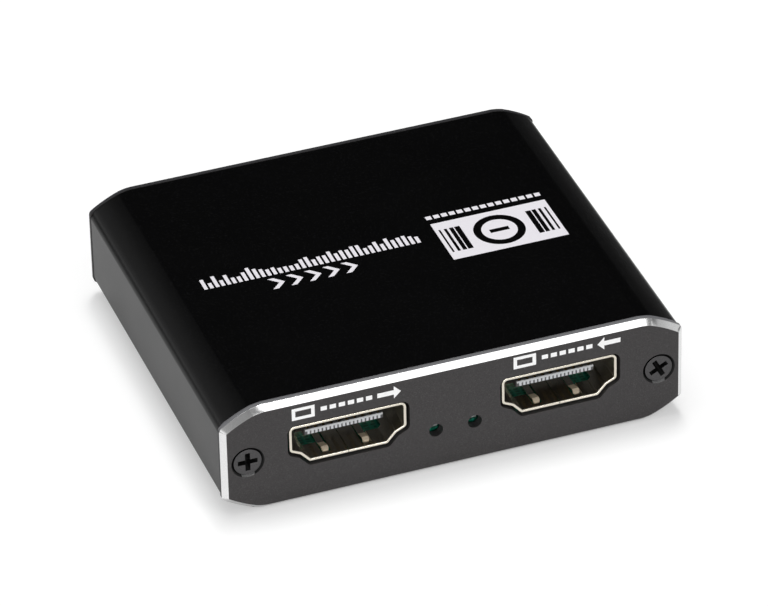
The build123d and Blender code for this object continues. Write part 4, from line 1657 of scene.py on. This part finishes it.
@dataclass
class Floor:
    """A pale floor that reads white to the camera and in metal, and keeps its shadow."""

    size: float = 3.0
    colour: Triple = (0.6, 0.6, 0.6)
    lift: float = 0.43
    roughness: float = 0.9
    specular: float = 0.1
    mirror_reach: Point = (0.07, 0.13)
    mirror_share: float = 0.5
    far_loss: float = 0.8

    def shade(self, graph: Graph) -> None:
        """Fills the floor's material.

        Args:
            graph: The material's tree, which is empty.
        """
        path = graph.add("ShaderNodeLightPath").outputs
        away = graph.add("ShaderNodeVectorMath", {0: graph.place()}, operation="LENGTH").outputs["Value"]
        near = graph.ramp(away, self.mirror_reach, (1.0, 0.0))
        mirrored = graph.math("MAXIMUM", path["Is Glossy Ray"], path["Is Transmission Ray"])
        mirrored_near = graph.math("MULTIPLY", graph.math("MULTIPLY", mirrored, near), self.mirror_share)
        seen = graph.math("MAXIMUM", path["Is Camera Ray"], mirrored_near)
        mirrored_far = graph.math("MULTIPLY", mirrored, graph.math("SUBTRACT", 1.0, near))
        tone = graph.math("SUBTRACT", 1.0, graph.math("MULTIPLY", mirrored_far, self.far_loss))
        shader = graph.add("ShaderNodeBsdfPrincipled", {
            "Base Color": graph.scaled(self.colour, tone), "Roughness": self.roughness,
            "Specular IOR Level": self.specular, "Emission Color": WHITE,
            "Emission Strength": graph.math("MULTIPLY", seen, self.lift),
        })
        graph.add("ShaderNodeOutputMaterial", {"Surface": shader.outputs[0]})

    def build(self) -> None:
        """Lays the floor."""
        mesh = bpy.data.meshes.new("floor")
        mesh.from_pydata([(x, y, 0) for x, y in rectangle(self.size, self.size)], [], [(0, 1, 2, 3)])
        material = bpy.data.materials.new("studio_floor")
        self.shade(fresh_graph(material))
        mesh.materials.append(material)
        floor = new_object("floor", mesh)


@dataclass
class Room:
    """A dim room that is brighter towards the horizon and the front, and white to the camera."""

    low_reach: Point = (0.25, 0.65)
    low_levels: Point = (0.9, 0.25)
    front_reach: Point = (-0.7, 0.4)
    back_level: float = 0.01
    horizon_reach: Point = (0.0, 0.3)
    horizon_levels: Point = (0.06, 0.0)
    card_side: Triple = (-0.749, 0.6, 0.28)
    card_reach: Point = (0.8, 1.0)
    card_levels: Point = (0.0, 1.2)

    def build(self) -> None:
        """Fills the world with the room's light."""
        world = bpy.data.worlds.new("room")
        bpy.context.scene.world = world
        graph = fresh_graph(world)
        toward = graph.add("ShaderNodeTexCoord").outputs["Generated"]
        way = graph.add("ShaderNodeSeparateXYZ", {0: toward}).outputs
        low = graph.ramp(way["Z"], self.low_reach, self.low_levels)
        front = graph.ramp(way["Y"], self.front_reach, (low, self.back_level))
        horizon = graph.ramp(graph.math("ABSOLUTE", way["Z"]), self.horizon_reach, self.horizon_levels)
        card = graph.add("ShaderNodeVectorMath", {0: toward, 1: self.card_side}, operation="DOT_PRODUCT")
        glow = graph.ramp(card.outputs["Value"], self.card_reach, self.card_levels, "LINEAR")
        strength = graph.math("ADD", graph.math("ADD", front, horizon), glow)
        seen = graph.add("ShaderNodeLightPath").outputs["Is Camera Ray"]
        mix = graph.add("ShaderNodeMix", {0: seen, 2: strength, 3: 1.0}, data_type="FLOAT").outputs[0]
        shader = graph.add("ShaderNodeBackground", {"Color": WHITE, "Strength": mix})
        graph.add("ShaderNodeOutputWorld", {"Surface": shader.outputs[0]})


@dataclass
class Camera:
    """The camera, at the photograph's angle."""

    azimuth: float = -19.29
    elevation: float = 34.38
    roll: float = -1.36
    distance: float = 0.739
    aim: Triple = (0.0, -0.026, 0.0075)
    side_step: float = -8.49 * MM
    rise: float = 13.52 * MM
    lens: float = 286.7
    sensor: float = 36.0

    def build(self) -> None:
        """Sets the camera up."""
        azimuth, elevation, roll = map(math.radians, (self.azimuth, self.elevation, self.roll))
        back = Vector((math.sin(azimuth) * math.cos(elevation), -math.cos(azimuth) * math.cos(elevation),
                       math.sin(elevation)))
        level_right = Vector((math.cos(azimuth), math.sin(azimuth), 0))
        level_up = back.cross(level_right)
        right = math.cos(roll) * level_right + math.sin(roll) * level_up
        up = -math.sin(roll) * level_right + math.cos(roll) * level_up
        view = bpy.data.cameras.new("camera")
        view.sensor_width = self.sensor
        view.lens = self.lens
        made = new_object("camera", view)
        place = Vector(self.aim) + self.distance * back + self.side_step * right + self.rise * up
        turn = Matrix((right, up, back)).transposed()
        made.matrix_world = Matrix.Translation(place) @ turn.to_4x4()
        bpy.context.scene.camera = made


@dataclass
class Studio:
    """Floor, lights, room and camera."""

    softboxes: tuple[Softbox, ...] = (
        Softbox("key softbox", (0.08, 0.17, 0.97), (0.16, 0.34), 3.4),
        Softbox("overhead softbox", (-0.1, 0.08, 1.0), (0.65, 0.65), 3.1),
        Softbox("rim softbox", (0.27, -0.56, 0.78), (0.45, 0.32), 0.6, 0.8),
        Softbox("front softbox", (-0.06, -1.0, 0.1), (0.6, 0.3), 3.3),
    )

    def build(self) -> None:
        """Sets up the whole studio."""
        Floor().build()
        for softbox in self.softboxes:
            softbox.hang()
        Room().build()
        Camera().build()
        bpy.context.scene.view_settings.view_transform = "Standard"


def main() -> None:
    """Builds every sub-assembly, then the studio."""
    logging.basicConfig(level=logging.INFO, format="%(message)s")
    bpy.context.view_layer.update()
    pieces = [CaseSleeve()]
    pieces += [EndPlate(facing) for facing in Facing]
    pieces += [Screws(facing) for facing in Facing]
    pieces += [VideoSocket("video_out"), VideoSocket("video_in"), DataSocket()]
    pieces += [SoundJack("microphone_jack"), SoundJack("headphone_jack")]
    pieces += [CircuitBoard(), TopMarks(), FrontMarks(), RearMarks(), Studio()]
    for piece in pieces:
        piece.build()


if __name__ == "__main__":
    main()
